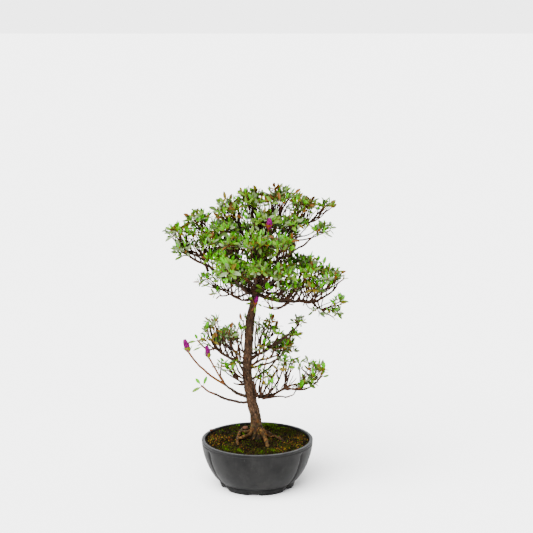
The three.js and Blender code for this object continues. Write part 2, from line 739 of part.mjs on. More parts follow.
// The leaves round one twig tip, and its blossom if it has one. The tuft faces up and out of its pad. A leaf
// is cut shorter where it would leave its mass's space or cross an earlier piece, and left out where that
// isn't enough.
function tuft({ points, tip }, mass, earlier, roll) {
  const to = points.at(-1);
  const back = points.at(-2).clone().sub(to).normalize();
  const axis = tip.out.clone().multiplyScalar(TUFT.out).sub(back).normalize();
  axis.addScaledVector(new THREE.Vector3(0, 0, 1), TUFT.up).normalize();
  const across = new THREE.Vector3(1, 0, 0).cross(axis).normalize();
  const phase = roll() * Math.PI * 2;
  const pieces = [];
  for (let k = 0; k < LEAF.perTip; k++) {
    const turn = phase + (k * Math.PI * 2) / LEAF.perTip;
    const tilt = radians(LEAF.spread + LEAF.droop * k + LEAF.swing * (roll() - 0.5));
    const out = across.clone().applyAxisAngle(axis, turn);
    const way = axis.clone().multiplyScalar(Math.cos(tilt)).addScaledVector(out, Math.sin(tilt));
    const foot = to.clone().addScaledVector(back, LEAF.first + LEAF.step * k);
    const full = 1 + LEAF.varies * (roll() - 0.5);
    for (let share = full; share >= LEAF.shortest; share -= LEAF.cut) {
      const { blade, corners } = leaf(foot, way, axis, LEAF.long * share);
      const end = foot.clone().addScaledVector(way, LEAF.long * share);
      const free = corners.every((corner) =>
        stations(foot, corner, 4).every((p) => inOwnSpace(mass, p) && clearOfLimbs(p, LEAF.thick)),
      );
      if (depthIn(mass, end) > EDGE || !free || earlier.some((piece) => crosses(blade, piece))) continue;
      pieces.push(blade);
      break;
    }
  }
  if (tip.blossom) {
    const upright = new THREE.Quaternion().setFromUnitVectors(new THREE.Vector3(0, 1, 0), axis);
    const centre = to.clone().addScaledVector(axis, BLOSSOM.half * (1 - BLOSSOM.sunk));
    const bud = new THREE.SphereGeometry(1, 7, 5).scale(BLOSSOM.radius, BLOSSOM.half, BLOSSOM.radius);
    pieces.push(solid(bud.applyQuaternion(upright).translate(...centre)));
  }
  return pieces;
}

// One mass as a single solid: a stem off its limb, the twigs, and the leaves fused to their tips
function massSolid(mass, seed) {
  const roll = dice(seed);
  const tips = mass.pads.flatMap((pad) => tipsOf(pad, roll));
  const { start, way, girth } = stemOf(mass);
  const gain = tips.length > 1 ? Math.log(girth / TWIG.radius) / Math.log(tips.length) : 0;
  const thickness = (count) => TWIG.radius * count ** gain;
  const neck = start.clone().addScaledVector(way, STEM.neck * girth);
  const twigs = [];
  grow({ points: [start, neck], radii: [girth, girth] }, tips, thickness, roll, twigs);
  const pieces = twigs.map(({ points, radii }) => tube(points, radii, 3));
  twigs.forEach((twig, i) => {
    const [foot, tip] = twig.points.slice(-2);
    const free = stations(foot, tip, 6).every((p) => inOwnSpace(mass, p) || depthIn(mass, p) > EDGE);
    if (free) pieces.push(...tuft(twig, mass, pieces.toSpliced(i, 1), roll));
  });
  return largest(wasm.Manifold.union(pieces).subtract(allLimbs).simplify(SMALLEST));
}

// Colours and finishes
const plastic = new THREE.MeshStandardMaterial({ color: 0x3c3c3e, roughness: 0.55 });
const earth = new THREE.MeshStandardMaterial({ color: 0x2c2114, roughness: 0.95 });
const bark = new THREE.MeshStandardMaterial({ color: 0x5a4233, roughness: 0.85 });
const foliage = new THREE.MeshStandardMaterial({ color: 0x4f7a2c, roughness: 0.5 });

const plant = new THREE.Group();
function place(name, shape, material) {
  const mesh = new THREE.Mesh(geometryOf(shape), material);
  mesh.name = name;
  plant.add(mesh);
}
place("pot", bowl(), plastic);
place("soil", soil(), earth);
for (const [name, shape] of Object.entries(limbSolids)) place(name, shape, bark);
Object.entries(MASSES).forEach(([name, mass], i) => {
  place(`foliage_${name}`, massSolid(mass, 101 + 17 * i), foliage);
});

// The origin is under the middle of the whole plant
const box = new THREE.Box3().setFromObject(plant);
const middle = box.getCenter(new THREE.Vector3());
plant.position.set(-middle.x, -middle.y, -box.min.z);

export default plant;
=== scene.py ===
"""A small evergreen azalea grown as a bonsai in a round plastic bowl, dressed for its portrait.

Sizes and places are millimetres from the middle of the bowl on the ground: X to the right of someone who
faces the plant, Y away from them and Z up. place_of() carries them into the frame's metres.
"""

import math

import bpy
import numpy as np
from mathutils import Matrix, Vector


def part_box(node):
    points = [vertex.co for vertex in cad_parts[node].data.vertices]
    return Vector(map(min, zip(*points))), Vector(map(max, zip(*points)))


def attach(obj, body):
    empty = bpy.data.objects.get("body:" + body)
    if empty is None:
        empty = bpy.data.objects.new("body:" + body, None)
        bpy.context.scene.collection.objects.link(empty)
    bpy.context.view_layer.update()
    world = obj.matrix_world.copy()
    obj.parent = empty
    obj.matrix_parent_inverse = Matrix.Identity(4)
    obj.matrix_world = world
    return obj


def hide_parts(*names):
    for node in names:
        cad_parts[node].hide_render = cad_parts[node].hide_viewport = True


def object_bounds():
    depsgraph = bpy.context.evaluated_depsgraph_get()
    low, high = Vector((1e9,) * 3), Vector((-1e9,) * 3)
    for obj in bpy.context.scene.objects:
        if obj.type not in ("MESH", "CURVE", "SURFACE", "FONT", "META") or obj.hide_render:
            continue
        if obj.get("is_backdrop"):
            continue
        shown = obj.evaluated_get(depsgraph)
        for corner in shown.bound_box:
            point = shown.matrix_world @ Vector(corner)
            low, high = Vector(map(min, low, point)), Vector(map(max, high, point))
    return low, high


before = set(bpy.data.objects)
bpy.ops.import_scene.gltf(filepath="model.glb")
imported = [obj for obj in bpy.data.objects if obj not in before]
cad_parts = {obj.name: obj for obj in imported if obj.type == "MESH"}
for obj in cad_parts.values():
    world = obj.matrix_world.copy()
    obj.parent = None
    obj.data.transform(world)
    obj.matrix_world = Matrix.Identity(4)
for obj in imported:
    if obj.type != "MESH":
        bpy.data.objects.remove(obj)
cad_low, cad_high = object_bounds()

# Camera
# A long portrait lens stands 1.8 m in front of the bowl and 0.65 m up, and looks down on the plant by ten
# degrees. It aims just to the right of the bowl's middle, as the picture is framed.
MM = 0.001
CAMERA = {"back": 1800, "up": 646, "down_deg": 10.31, "aside_deg": 0.42, "lens": 88.1}
bowl_low, bowl_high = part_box("pot")
stand = np.array([(bowl_low.x + bowl_high.x) / 2, (bowl_low.y + bowl_high.y) / 2, bowl_low.z])


def place_of(points):
    """Points in millimetres from the bowl's middle, scaled to metres and moved to where the frame has it."""
    return np.asarray(points, float) * MM + stand


camera = bpy.data.objects.new("camera", bpy.data.cameras.new("camera"))
bpy.context.scene.collection.objects.link(camera)
bpy.context.scene.camera = camera
camera.data.lens = CAMERA["lens"]
camera.location = place_of([0, -CAMERA["back"], CAMERA["up"]])
camera.rotation_euler = (math.radians(90 - CAMERA["down_deg"]), 0, -math.radians(CAMERA["aside_deg"]))
PICTURE = {"across": 533, "film": 36}


def seen_at(spots, depth):
    """The places that the camera sees at positions in the picture, in pixels from its upper left corner:
    each line of sight is followed from the lens to a depth along Y."""
    off = (np.asarray(spots, float) / PICTURE["across"] - 0.5) * PICTURE["film"] / CAMERA["lens"]
    sight = np.stack([off[..., 0], -off[..., 1], -np.ones(off.shape[:-1])], -1)
    sight = sight @ np.array(camera.rotation_euler.to_matrix()).T
    far = (np.asarray(depth, float) + CAMERA["back"]) / sight[..., 1]
    return np.array([0, -CAMERA["back"], CAMERA["up"]]) + sight * far[..., None]


# Bowl
# A round training bowl injection-moulded in dark grey plastic, with four grooves that part its side into
# lobes, a plain flat lip, and a thin even wall.
BOWL = {"radius": 80, "height": 68, "floor_radius": 45, "floor_z": 4, "fullness": 1.72, "wall": 3}
LIP = {"width": 5, "depth": 4, "under": 0.7, "round": 1.1}
LIP_UNDER = BOWL["height"] - LIP["depth"]
GROOVE = {"depth": 2.6, "at_deg": (-60, 52.5, 120, 232.5), "line_deg": 1.5, "hollow_deg": 6, "fades": 7}
LINE_SHARE = 0.6
# How near the axis a closed profile starts and ends.
AXIS = 0.01
BOWL_STEPS = {"outer": 34, "inner": 20, "round": 180, "groove": 25, "groove_deg": 9}


def put(name, points, *faces):
    """A smooth mesh object from an array of points and arrays of faces with three or four corners."""
    mesh = bpy.data.meshes.new(name)
    corners = [face for group in faces for face in group.tolist()]
    mesh.from_pydata(place_of(points).reshape(-1, 3).tolist(), [], corners)
    mesh.shade_smooth()
    piece = bpy.data.objects.new(name, mesh)
    bpy.context.scene.collection.objects.link(piece)
    return piece


def finish(piece, material, slot, *nodes):
    """Gives a piece its material, lets it ride on the plant, and stands it in for CAD nodes. Its slot is not
    used.
    """
    piece.data.materials.append(material)
    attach(piece, "root")
    if nodes:
        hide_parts(*nodes)


def wrapped_quads(rows, columns):
    """The four corners of each cell of a grid whose last column meets its first."""
    here = np.arange(columns)
    beside = np.roll(here, -1)
    row = np.arange(rows - 1)[:, None] * columns
    after = row + columns
    return np.stack([row + here, row + beside, after + beside, after + here], -1).reshape(-1, 4)


def turned(headings, profile):
    """A profile of (radius, height) pairs carried round the Z axis: one row for each pair, one column for
    each heading in degrees, counted from the front to the right."""
    radius, height = np.asarray(profile, float).T[..., None]
    angle = np.radians(headings)
    x, y = radius * np.sin(angle), -radius * np.cos(angle)
    return np.stack([x, y, np.broadcast_to(height, x.shape)], -1)


def side_radius(z):
    """Radius of the bowl's side at a height: a superellipse from the floor's edge out to the lip."""
    s = np.clip((np.asarray(z, float) - BOWL["floor_z"]) / (BOWL["height"] - BOWL["floor_z"]), 0, 1)
    swell = (1 - (1 - s) ** BOWL["fullness"]) ** (1 / BOWL["fullness"])
    return BOWL["floor_radius"] + (BOWL["radius"] - BOWL["floor_radius"]) * swell


def off_groove(heading):
    """Degrees from a heading to the nearest groove."""
    turns = (np.asarray(heading)[..., None] - np.array(GROOVE["at_deg"]) + 180) % 360 - 180
    return np.abs(turns).min(-1)


def smooth_step(value, low, high):
    """0 below low and 1 above high, with an S-shaped rise between."""
    t = np.clip((value - low) / (high - low), 0, 1)
    return t * t * (3 - 2 * t)


def lobed(points):
    """Presses the grooves into a turned shape: a sharp line in a shallow hollow, which fades out under the
    lip and towards the axis."""
    radius = np.hypot(points[..., 0], points[..., 1])
    heading = np.degrees(np.arctan2(points[..., 0], -points[..., 1]))
    off = off_groove(heading)
    line = LINE_SHARE * np.exp(-((off / GROOVE["line_deg"]) ** 2))
    hollow = (1 - LINE_SHARE) * np.exp(-((off / GROOVE["hollow_deg"]) ** 2))
    fade = 1 - smooth_step(points[..., 2], LIP_UNDER - GROOVE["fades"], LIP_UNDER)
    pressed = GROOVE["depth"] * (line + hollow) * fade * np.clip(radius / BOWL["floor_radius"], 0, 1)
    points[..., :2] *= (1 - pressed / np.maximum(radius, 1))[..., None]
    return points


def rounded(corner, start, size, steps=5):
    """Points on a quarter circle that rounds a corner, starting on the side at an angle in degrees."""
    angle = np.radians(start + np.linspace(0, 90, steps))
    return np.stack([corner[0] + size * np.cos(angle), corner[1] + size * np.sin(angle)], -1)


def bowl_points():
    """The bowl's outline from the middle of its underside, out and up the side, round the lip, down the
    inside and back to the axis, carried round through headings that crowd at the grooves."""
    small, top = LIP["round"], BOWL["height"] - LIP["round"]
    floor, floor_top = BOWL["floor_z"], BOWL["floor_z"] + BOWL["wall"]
    outer = np.linspace(floor, LIP_UNDER, BOWL_STEPS["outer"])
    inner = np.linspace(LIP_UNDER - 2, floor_top, BOWL_STEPS["inner"])
    inside_lip = BOWL["radius"] - LIP["width"]
    outline = [
        [(AXIS, floor), (BOWL["floor_radius"] * 0.6, floor)],
        np.stack([side_radius(outer), outer], -1),
        [(side_radius(LIP_UNDER) - LIP["under"], LIP_UNDER + 0.1), (BOWL["radius"] - 0.3, LIP_UNDER + 0.8)],
        rounded((BOWL["radius"] - small, top), 0, small),
        rounded((inside_lip + small, top), 90, small),
        [(inside_lip, LIP_UNDER)],
        np.stack([side_radius(inner) - BOWL["wall"], inner], -1),
        [(BOWL["floor_radius"] * 0.5, floor_top), (AXIS, floor_top)],
    ]
    beside = np.linspace(-BOWL_STEPS["groove_deg"], BOWL_STEPS["groove_deg"], BOWL_STEPS["groove"])
    even = np.linspace(-180, 180, BOWL_STEPS["round"], endpoint=False)
    headings = np.concatenate([even, *(at + beside for at in GROOVE["at_deg"])])
    headings = np.unique(np.round((headings + 180) % 360 - 180, 3))
    return lobed(turned(headings, np.concatenate(outline)))


class Wire:
    """A node's output that can be used in sums: each operator adds the Math node that works it out."""

    def __init__(self, tree, socket):
        self.tree, self.socket = tree, socket

    def node(self, kind, settings=None, inputs=None, output=0):
        """A new node of a kind. Its settings are set first, then the values or the links of its sockets, by
        name, or by number where names repeat."""
        made = self.tree.nodes.new(kind)
        for name, value in (settings or {}).items():
            setattr(made, name, value)
        for name, value in (inputs or {}).items():
            if isinstance(value, Wire):
                self.tree.links.new(value.socket, made.inputs[name])
            else:
                made.inputs[name].default_value = value
        return Wire(self.tree, made.outputs[output])

    def maths(self, operation, first, second):
        """The Math node that works an operation out on two values or wires."""
        return self.node("ShaderNodeMath", {"operation": operation}, {0: first, 1: second})

    def __add__(self, other):
        return self.maths("ADD", self, other)

    def __sub__(self, other):
        return self.maths("SUBTRACT", self, other)

    def __rsub__(self, other):
        return self.maths("SUBTRACT", other, self)

    def __mul__(self, other):
        return self.maths("MULTIPLY", self, other)

    __radd__ = __add__
    __rmul__ = __mul__

    def noise(self, size, detail=4, rough=0.55):
        """Cloudy noise from 0 to 1 over this place, with lumps of about a size in millimetres."""
        sockets = {"Vector": self, "Scale": 1 / (size * MM), "Detail": detail, "Roughness": rough}
        return self.node("ShaderNodeTexNoise", {}, sockets)

    def stretched(self, *scale):
        """This place with each axis scaled."""
        return self.node("ShaderNodeMapping", {}, {"Vector": self, "Scale": scale})

    def step(self, low, high):
        """0 where this is below low and 1 where it is above high, with a soft rise between."""
        sockets = {"Value": self, "From Min": low, "From Max": high}
        return self.node("ShaderNodeMapRange", {"interpolation_type": "SMOOTHSTEP"}, sockets)

    def between(self, first, second):
        """A colour mixed from one to the other as this goes from 0 to 1."""
        first, second = (c if isinstance(c, Wire) else (*c, 1) for c in (first, second))
        return self.node("ShaderNodeMix", {"data_type": "RGBA"}, {0: self, 6: first, 7: second}, output=2)

    def bump(self, depth, strength=1.0):
        """A surface normal that this height, from 0 to 1, raises by a depth in millimetres."""
        sockets = {"Height": self, "Distance": depth * MM, "Strength": strength}
        return self.node("ShaderNodeBump", {}, sockets)

    def feed(self, shader, name):
        """Leads this into a socket of a material's shader."""
        self.tree.links.new(self.socket, shader.inputs[name])


def start_material(name, **constants):
    """A new material with some constant sockets, its shader, and the place on the object as a wire."""
    material = bpy.data.materials.new(name)
    material.use_nodes = True
    shader = material.node_tree.nodes["Principled BSDF"]
    for socket, value in constants.items():
        shader.inputs[socket.replace("_", " ")].default_value = value
    place = Wire(material.node_tree, None).node("ShaderNodeTexCoord", output="Object")
    return material, shader, place


# Heights where splashed dust starts to thin out and where it ends, and how far under the top of the lip its
# wear and its painted highlight start and are full.
SPLASH_TOP = (12, 45)
LIP_WEAR_AND_HIGHLIGHT = (0.5, 0.05)


def bowl_plastic():
    """Satin dark grey plastic: faint clouds and rub marks, a film of pale dust that lies in patches, most of
    it low down, darker blotches, pale upright scratches, and a lip whose top is lighter and bluish, partly
    worn by handling and partly a painted highlight."""
    material, shader, place = start_material("bowl_plastic", Specular_IOR_Level=0.06)
    height = place.node("ShaderNodeSeparateXYZ", {}, {"Vector": place}, output="Z")
    clouds = place.noise(34, 4, 0.6)
    rubs = place.stretched(1, 1, 0.3).noise(9, 6, 0.7)
    dust = place.noise(26, 8, 0.75).step(0.5, 0.75)
    specks = place.noise(1.6, 3, 0.7).step(0.6, 0.76)
    lip = height.step(*((BOWL["height"] - under) * MM for under in LIP_WEAR_AND_HIGHLIGHT))
    splash = 1 - height.step(*(z * MM for z in SPLASH_TOP))
    grey = clouds.step(0.3, 0.7).between((0.0039, 0.0039, 0.0039), (0.0088, 0.0086, 0.0084))
    grey = (rubs.step(0.46, 0.72) * 0.55).between(grey, (0.0138, 0.0134, 0.0131))
    grey = (dust * 0.45 + splash * dust * 0.3).between(grey, (0.019, 0.0183, 0.017))
    grey = (specks * (0.25 + dust * 0.5)).between(grey, (0.044, 0.042, 0.039))
    blotches = place.noise(12, 3, 0.6).step(0.6, 0.72)
    grey = (blotches * 0.45).between(grey, (0.0024, 0.0024, 0.0025))
    scratches = place.stretched(1, 1, 0.14).noise(3, 3, 0.6).step(0.68, 0.78)
    grey = (scratches * 0.4).between(grey, (0.04, 0.039, 0.037))
    # Lip top: lighter and bluish, partly wear from handling and partly a painted highlight.
    grey = (lip * (0.3 + rubs.step(0.35, 0.7) * 0.45)).between(grey, (0.042, 0.043, 0.045))
    grey.feed(shader, "Base Color")
    (0.38 + rubs * 0.22 + dust * 0.15).feed(shader, "Roughness")
    (rubs * 0.6 + place.noise(0.8, 2) * 0.4).bump(0.12, 0.6).feed(shader, "Normal")
    return material


bowl_grid = bowl_points()
bowl = put("bowl", bowl_grid, wrapped_quads(*bowl_grid.shape[:2]))
plastic = bowl_plastic()
finish(bowl, plastic, "pot", "pot")

# Foot ring
# The bowl stands on a low ring moulded with its underside. Arches are cut through the ring, so that water
# drains and the bowl rests on short feet between them.
FOOT = {"inner": 45.5, "outer": 53, "flare": 56, "height": 9, "arch_wide": 20, "arch_high": 3.2}
FOOT_TRIM = {"bevel": (1, 0.5), "top": (3, 0.4), "inside": 1, "steps": 360}
ARCHES_DEG = (-5, 175, *GROOVE["at_deg"])


def foot_points():
    """A closed section, flat below and bevelled outside, carried round. Its lower edge rises over each arch
    as a half ellipse."""
    (bevel, bevel_up), (top, top_up) = FOOT_TRIM["bevel"], FOOT_TRIM["top"]
    section = [
        (FOOT["inner"], 0),
        (FOOT["inner"] + bevel, 0),
        (FOOT["outer"] - bevel, 0),
        (FOOT["outer"], bevel_up),
        (FOOT["flare"], FOOT["height"]),
        (FOOT["flare"] - top, FOOT["height"] + top_up),
        (FOOT["inner"], BOWL["floor_z"] + FOOT_TRIM["inside"]),
        (FOOT["inner"], 0),
    ]
    points = turned(np.linspace(-180, 180, FOOT_TRIM["steps"], endpoint=False), section)
    heading = np.degrees(np.arctan2(points[..., 0], -points[..., 1]))
    away = np.abs((heading[..., None] - np.array(ARCHES_DEG) + 180) % 360 - 180).min(-1)
    across = np.radians(away) * FOOT["outer"] / (FOOT["arch_wide"] / 2)
    lift = FOOT["arch_high"] * np.sqrt(np.clip(1 - across**2, 0, 1))
    points[..., 2] = np.maximum(points[..., 2], lift)
    return lobed(points)


foot_grid = foot_points()
foot = put("bowl_foot", foot_grid, wrapped_quads(*foot_grid.shape[:2]))
finish(foot, plastic, "pot")

# Soil
# The root ball's top: dark peaty soil that mounds up to the trunk and breaks into crumbs, a few millimetres
# under the lip. It is a closed disc that reaches down inside the bowl, to a radius and height called deep.
SOIL = {"edge_z": 64.5, "mound": 4, "bump": 0.9, "waves": (5.3, 4.7, 9.1), "radius": 74.5, "deep": (50, 30)}
# Cushions of moss and drifts of litter: x, y, height and half width.
CUSHIONS = np.array(
    [(16, 57, 4.2, 13), (40, 41, 3.2, 12), (60, 13, 2.4, 11), (51, -14, 2, 11), (42, -38, 2.8, 11)]
    + [(20, -57, 2.8, 10), (-5, -59, 1.8, 9), (-30, -55, 2.6, 10), (-50, -39, 2.8, 11)]
    + [(-58, -9, 2.6, 12), (-53, 26, 2.2, 12), (-30, 49, 2.8, 12), (-28, 16, 2, 8)]
)


def waves(places, size, seed, stretch=(1, 1, 1), count=20):
    """Roughness, mostly from -1 to 1: sine waves with seeded directions and with lengths near a size, which
    may be stretched along an axis, added up and divided by the root of their count."""
    draws = np.random.default_rng(seed)
    way = draws.normal(size=(count, 3))
    way /= np.linalg.norm(way, axis=1)[:, None] * size * draws.uniform(0.6, 1.6, (count, 1))
    phase = draws.uniform(0, 2 * math.pi, count)
    return np.sin(places / np.array(stretch) @ (2 * math.pi * way.T) + phase).sum(-1) / math.sqrt(count)


def near(spots, x, y):
    """For each of some (x, y, half width) spots, a bell that is 1 in its middle."""
    spots = np.asarray(spots, float)
    away = (x[..., None] - spots[:, 0]) ** 2 + (y[..., None] - spots[:, 1]) ** 2
    return np.exp(-away / spots[:, 2] ** 2)


def soil_height(x, y):
    """The source's mound: highest at the trunk, with bumps that fade out at the trunk and at the wall, and
    with its cushions, each a bell as high and as wide as the table says."""
    r = np.hypot(x, y) / BOWL["radius"]
    across, away, aslant = SOIL["waves"]
    bumps = np.sin(x / across + 1) * np.sin(y / away) + np.sin((x - y) / aslant)
    shown = smooth_step(r, 0.2, 0.5) * (1 - smooth_step(r, 0.75, 0.9))
    raised = (CUSHIONS[:, 2] * near(CUSHIONS[:, [0, 1, 3]], x, y)).sum(-1) * (1 - smooth_step(r, 0.84, 0.93))
    return SOIL["edge_z"] + SOIL["mound"] * (1 - r * r) + SOIL["bump"] * bumps * shown + raised


def crumbled(x, y):
    """The mound with lumps of three sizes worked into it."""
    flat = np.stack([x, y, np.zeros_like(x)], -1)
    lumps = 0.35 * waves(flat, 7, 3) + 0.4 * np.abs(waves(flat, 3.4, 4)) + 0.22 * waves(flat, 1.6, 5)
    return soil_height(x, y) + lumps


def soil_points():
    """Rings from the middle of the mound out to the wall, then down it and back to the axis underneath."""
    rings, columns = 84, 260
    angle = np.linspace(0, 2 * math.pi, columns, endpoint=False)
    radius = SOIL["radius"] * np.linspace(0.002, 1, rings)[:, None]
    x, y = radius * np.cos(angle), radius * np.sin(angle)
    top = np.stack([x, y, crumbled(x, y)], -1)[::-1]
    below = turned(np.degrees(angle) + 90, [(AXIS, SOIL["deep"][1]), SOIL["deep"]])
    return np.concatenate([below, top])


def soil_earth():
    """Moist dark soil: near black between the crumbs, brown on them, with ochre where fertiliser and old
    moss have dried."""
    material, shader, place = start_material("soil_earth", Specular_IOR_Level=0.02)
    lumps, grains = place.noise(9, 6, 0.7), place.noise(1.3, 5, 0.7)
    earth = lumps.step(0.35, 0.7).between((0.0012, 0.0007, 0.0002), (0.007, 0.004, 0.001))
    earth = (grains.step(0.5, 0.8) * 0.6).between(earth, (0.025, 0.014, 0.003))
    earth = (place.noise(17, 4).step(0.58, 0.74) * 0.4).between(earth, (0.007, 0.0075, 0.001))
    earth.feed(shader, "Base Color")
    (0.75 + grains * 0.25).feed(shader, "Roughness")
    (grains * 0.7 + lumps * 0.3).bump(0.6, 0.8).feed(shader, "Normal")
    return material


soil_grid = soil_points()
soil = put("soil_top", soil_grid, wrapped_quads(*soil_grid.shape[:2]))
earth = soil_earth()
finish(soil, earth, "soil", "soil")

# Crumbs and litter
# Loose grains lie all over the soil: dark crumbs, brown bark bits, and ochre and rust-coloured pellets that
# gather at the left and along the right edge.
# Where each kind, and the moss and the weeds of the next section, gathers: x, y and half width of its drifts,
# and how much of it lies everywhere else.
DRIFTS = {
    "all": ([(0, 0, 1)], 1),
    "ochre": ([(-52, -4, 17), (-44, -22, 12), (62, 2, 13), (52, -28, 14), (30, -48, 10), (-62, 12, 9)], 0.03),
    "moss": (
        [(16, 60, 15), (34, 46, 15), (-46, -46, 11), (-30, -58, 8), (20, -58, 9), (44, -36, 9)]
        + [(56, -6, 7), (-28, 18, 8), (-36, 50, 9), (50, 26, 9), (4, -61, 8), (24, 24, 9)],
        0.06,
    ),
    "weed_left": ([(-27, 64, 3.5)], 0),
    "weed_near": ([(-23, 24, 3)], 0),
    "bright": (
        [(18, 60, 11), (22, -58, 3.5), (-44, -48, 3), (-24, 15, 5)]
        + [(-24, -58, 3), (34, 46, 6), (6, -62, 2.5)],
        0.02,
    ),
}
CRUMBS = {
    "crumbs_dark": {"many": 1100, "size": (0.5, 1.5), "colour": (0.0022, 0.0013, 0.0006), "lies": "all"},
    "crumbs_brown": {"many": 620, "size": (0.4, 1.3), "colour": (0.019, 0.0095, 0.0025), "lies": "all"},
    "crumbs_ochre": {"many": 260, "size": (0.4, 1.1), "colour": (0.1, 0.055, 0.006), "lies": "ochre"},
    "crumbs_rust": {"many": 150, "size": (0.5, 1.3), "colour": (0.05, 0.013, 0.003), "lies": "ochre"},
}


def scattered(many, lies, seed):
    """Places on the soil, drawn evenly over its disc and kept by a seeded chance: the share that lies
    everywhere, and more in its kind's drifts, whose edges a noise frays. A small drift takes more tries."""
    draws = np.random.default_rng(seed)
    spots, everywhere = DRIFTS[lies]
    tries = 60 if lies.startswith("weed") else 14
    turn = draws.uniform(0, 2 * math.pi, many * tries)
    reach = (SOIL["radius"] - 2) * np.sqrt(draws.uniform(0, 1, len(turn)))
    x, y = reach * np.cos(turn), reach * np.sin(turn)
    frayed = 0.35 * waves(np.stack([x, y, np.zeros_like(x)], -1), 9, 6)
    drifts = near(spots, x, y).max(-1)
    chance = everywhere + np.clip(drifts + frayed * smooth_step(drifts, 0, 0.3), 0, 1)
    kept = np.flatnonzero(draws.random(len(x)) < chance)[:many]
    x, y = x[kept], y[kept]
    return np.stack([x, y, crumbled(x, y)], -1)


GRAIN_RINGS = {"out": 0.88, "up": 0.45}


def grains(middles, sizes, seed):
    """Small stones: each is a ball of two rings of six points and two poles, squashed and pulled about by
    seeded amounts, one stone at each middle."""
    draws = np.random.default_rng(seed)
    angle = np.stack([np.arange(6) * math.pi / 3 + turn for turn in (0, 1)])
    height = np.broadcast_to([[-GRAIN_RINGS["up"]], [GRAIN_RINGS["up"]]], angle.shape)
    ball = np.stack([GRAIN_RINGS["out"] * np.cos(angle), GRAIN_RINGS["out"] * np.sin(angle), height], -1)
    ball = np.concatenate([ball.reshape(-1, 3), [[0, 0, -1], [0, 0, 1]]])
    pull = draws.uniform(0.75, 1.25, (len(middles), len(ball), 1))
    pull = pull * draws.uniform(0.6, 1.25, (len(middles), 1, 3))
    points = middles[:, None] + ball * pull * sizes[:, None, None]
    ring, beside = np.arange(6), np.roll(np.arange(6), -1)
    sides = np.stack([ring, beside, beside + 6, ring + 6], -1)
    low_pole, high_pole = np.full(6, 12), np.full(6, 13)
    poles = [np.stack([beside, ring, low_pole], -1), np.stack([ring + 6, beside + 6, high_pole], -1)]
    poles = np.concatenate(poles)
    step = len(ball) * np.arange(len(middles))[:, None, None]
    return points, (sides + step).reshape(-1, 4), (poles + step).reshape(-1, 3)


def plain_finish(name, colour, roughness, specular=0.4):
    """One base colour for a kind of small thing that is dealt out over the plant."""
    material, shader, _ = start_material(name, Roughness=roughness, Specular_IOR_Level=specular)
    shader.inputs["Base Color"].default_value = (*colour, 1)
    return material


for seed, (name, kind) in enumerate(CRUMBS.items()):
    middles = scattered(kind["many"], kind["lies"], 30 + seed)
    sizes = np.random.default_rng(40 + seed).uniform(*kind["size"], len(middles))
    piece = put(name, *grains(middles, sizes, 50 + seed))
    finish(piece, plain_finish(name, kind["colour"], 0.85, 0.03), "soil")

# A pinkish pebble wedged behind the roots and a bark chip that leans on the rim: middle and size.
for name, middle, size, colour in (
    ("pebble", (-17.4, 36, 72.4), 3.6, (0.085, 0.035, 0.018)),
    ("bark_chip", (-67, 31, 70.4), 2.6, (0.045, 0.018, 0.01)),
):
    piece = put(name, *grains(np.array([middle], float), np.array([size]), 56))
    finish(piece, plain_finish(name, colour, 0.8, 0.1), "soil")

# Moss
# Cushions of moss grow where the soil stays wet, behind the trunk and along the front edge: thousands of
# short shoots, bright at the tips of the young patches and olive elsewhere.
MOSS = {
    "moss_bright": {"many": 1900, "colour": (0.045, 0.11, 0.0), "long": (0.7, 1.6), "lies": "bright"},
    "moss_olive": {"many": 4200, "colour": (0.022, 0.026, 0.001), "long": (0.5, 1.3), "lies": "moss"},
    "moss_dark": {"many": 4200, "colour": (0.004, 0.006, 0.0004), "long": (0.5, 1.3), "lies": "moss"},
}


def spikes(feet, long, wide, seed):
    """Short shoots: a triangle at each foot drawn up to one leaning tip, as a closed pyramid."""
    draws = np.random.default_rng(seed)
    count = len(feet)
    angle = draws.uniform(0, 2 * math.pi, (count, 1)) + np.arange(3) * 2 * math.pi / 3
    ring = np.stack([np.cos(angle), np.sin(angle), np.zeros_like(angle)], -1) * wide
    lean = draws.normal(size=(count, 3)) * 0.35
    lean[:, 2] = 1
    tips = feet + lean * draws.uniform(*long, (count, 1))
    points = np.concatenate([feet[:, None] + ring - [0, 0, 0.3], tips[:, None]], 1)
    faces = np.array([(0, 1, 3), (1, 2, 3), (2, 0, 3), (2, 1, 0)])
    return points, (faces + 4 * np.arange(count)[:, None, None]).reshape(-1, 3)


MOSS_WIDE, WEED_WIDE = 0.38, 0.9
for seed, (name, kind) in enumerate(MOSS.items()):
    feet = scattered(kind["many"], kind["lies"], 60 + seed)
    piece = put(name, *spikes(feet, kind["long"], MOSS_WIDE, 70 + seed))
    finish(piece, plain_finish(name, kind["colour"], 0.8, 0.03), "soil")

# Weeds: two tufts of small upright leaves, behind the trunk and at the bowl's rear, both left of the middle.
weeds = np.concatenate([scattered(26, "weed_left", 80), scattered(16, "weed_near", 81)])
piece = put("weeds", *spikes(weeds, (2.5, 5), WEED_WIDE, 82))
finish(piece, plain_finish("weeds", (0.05, 0.16, 0.001), 0.6, 0.1), "soil")

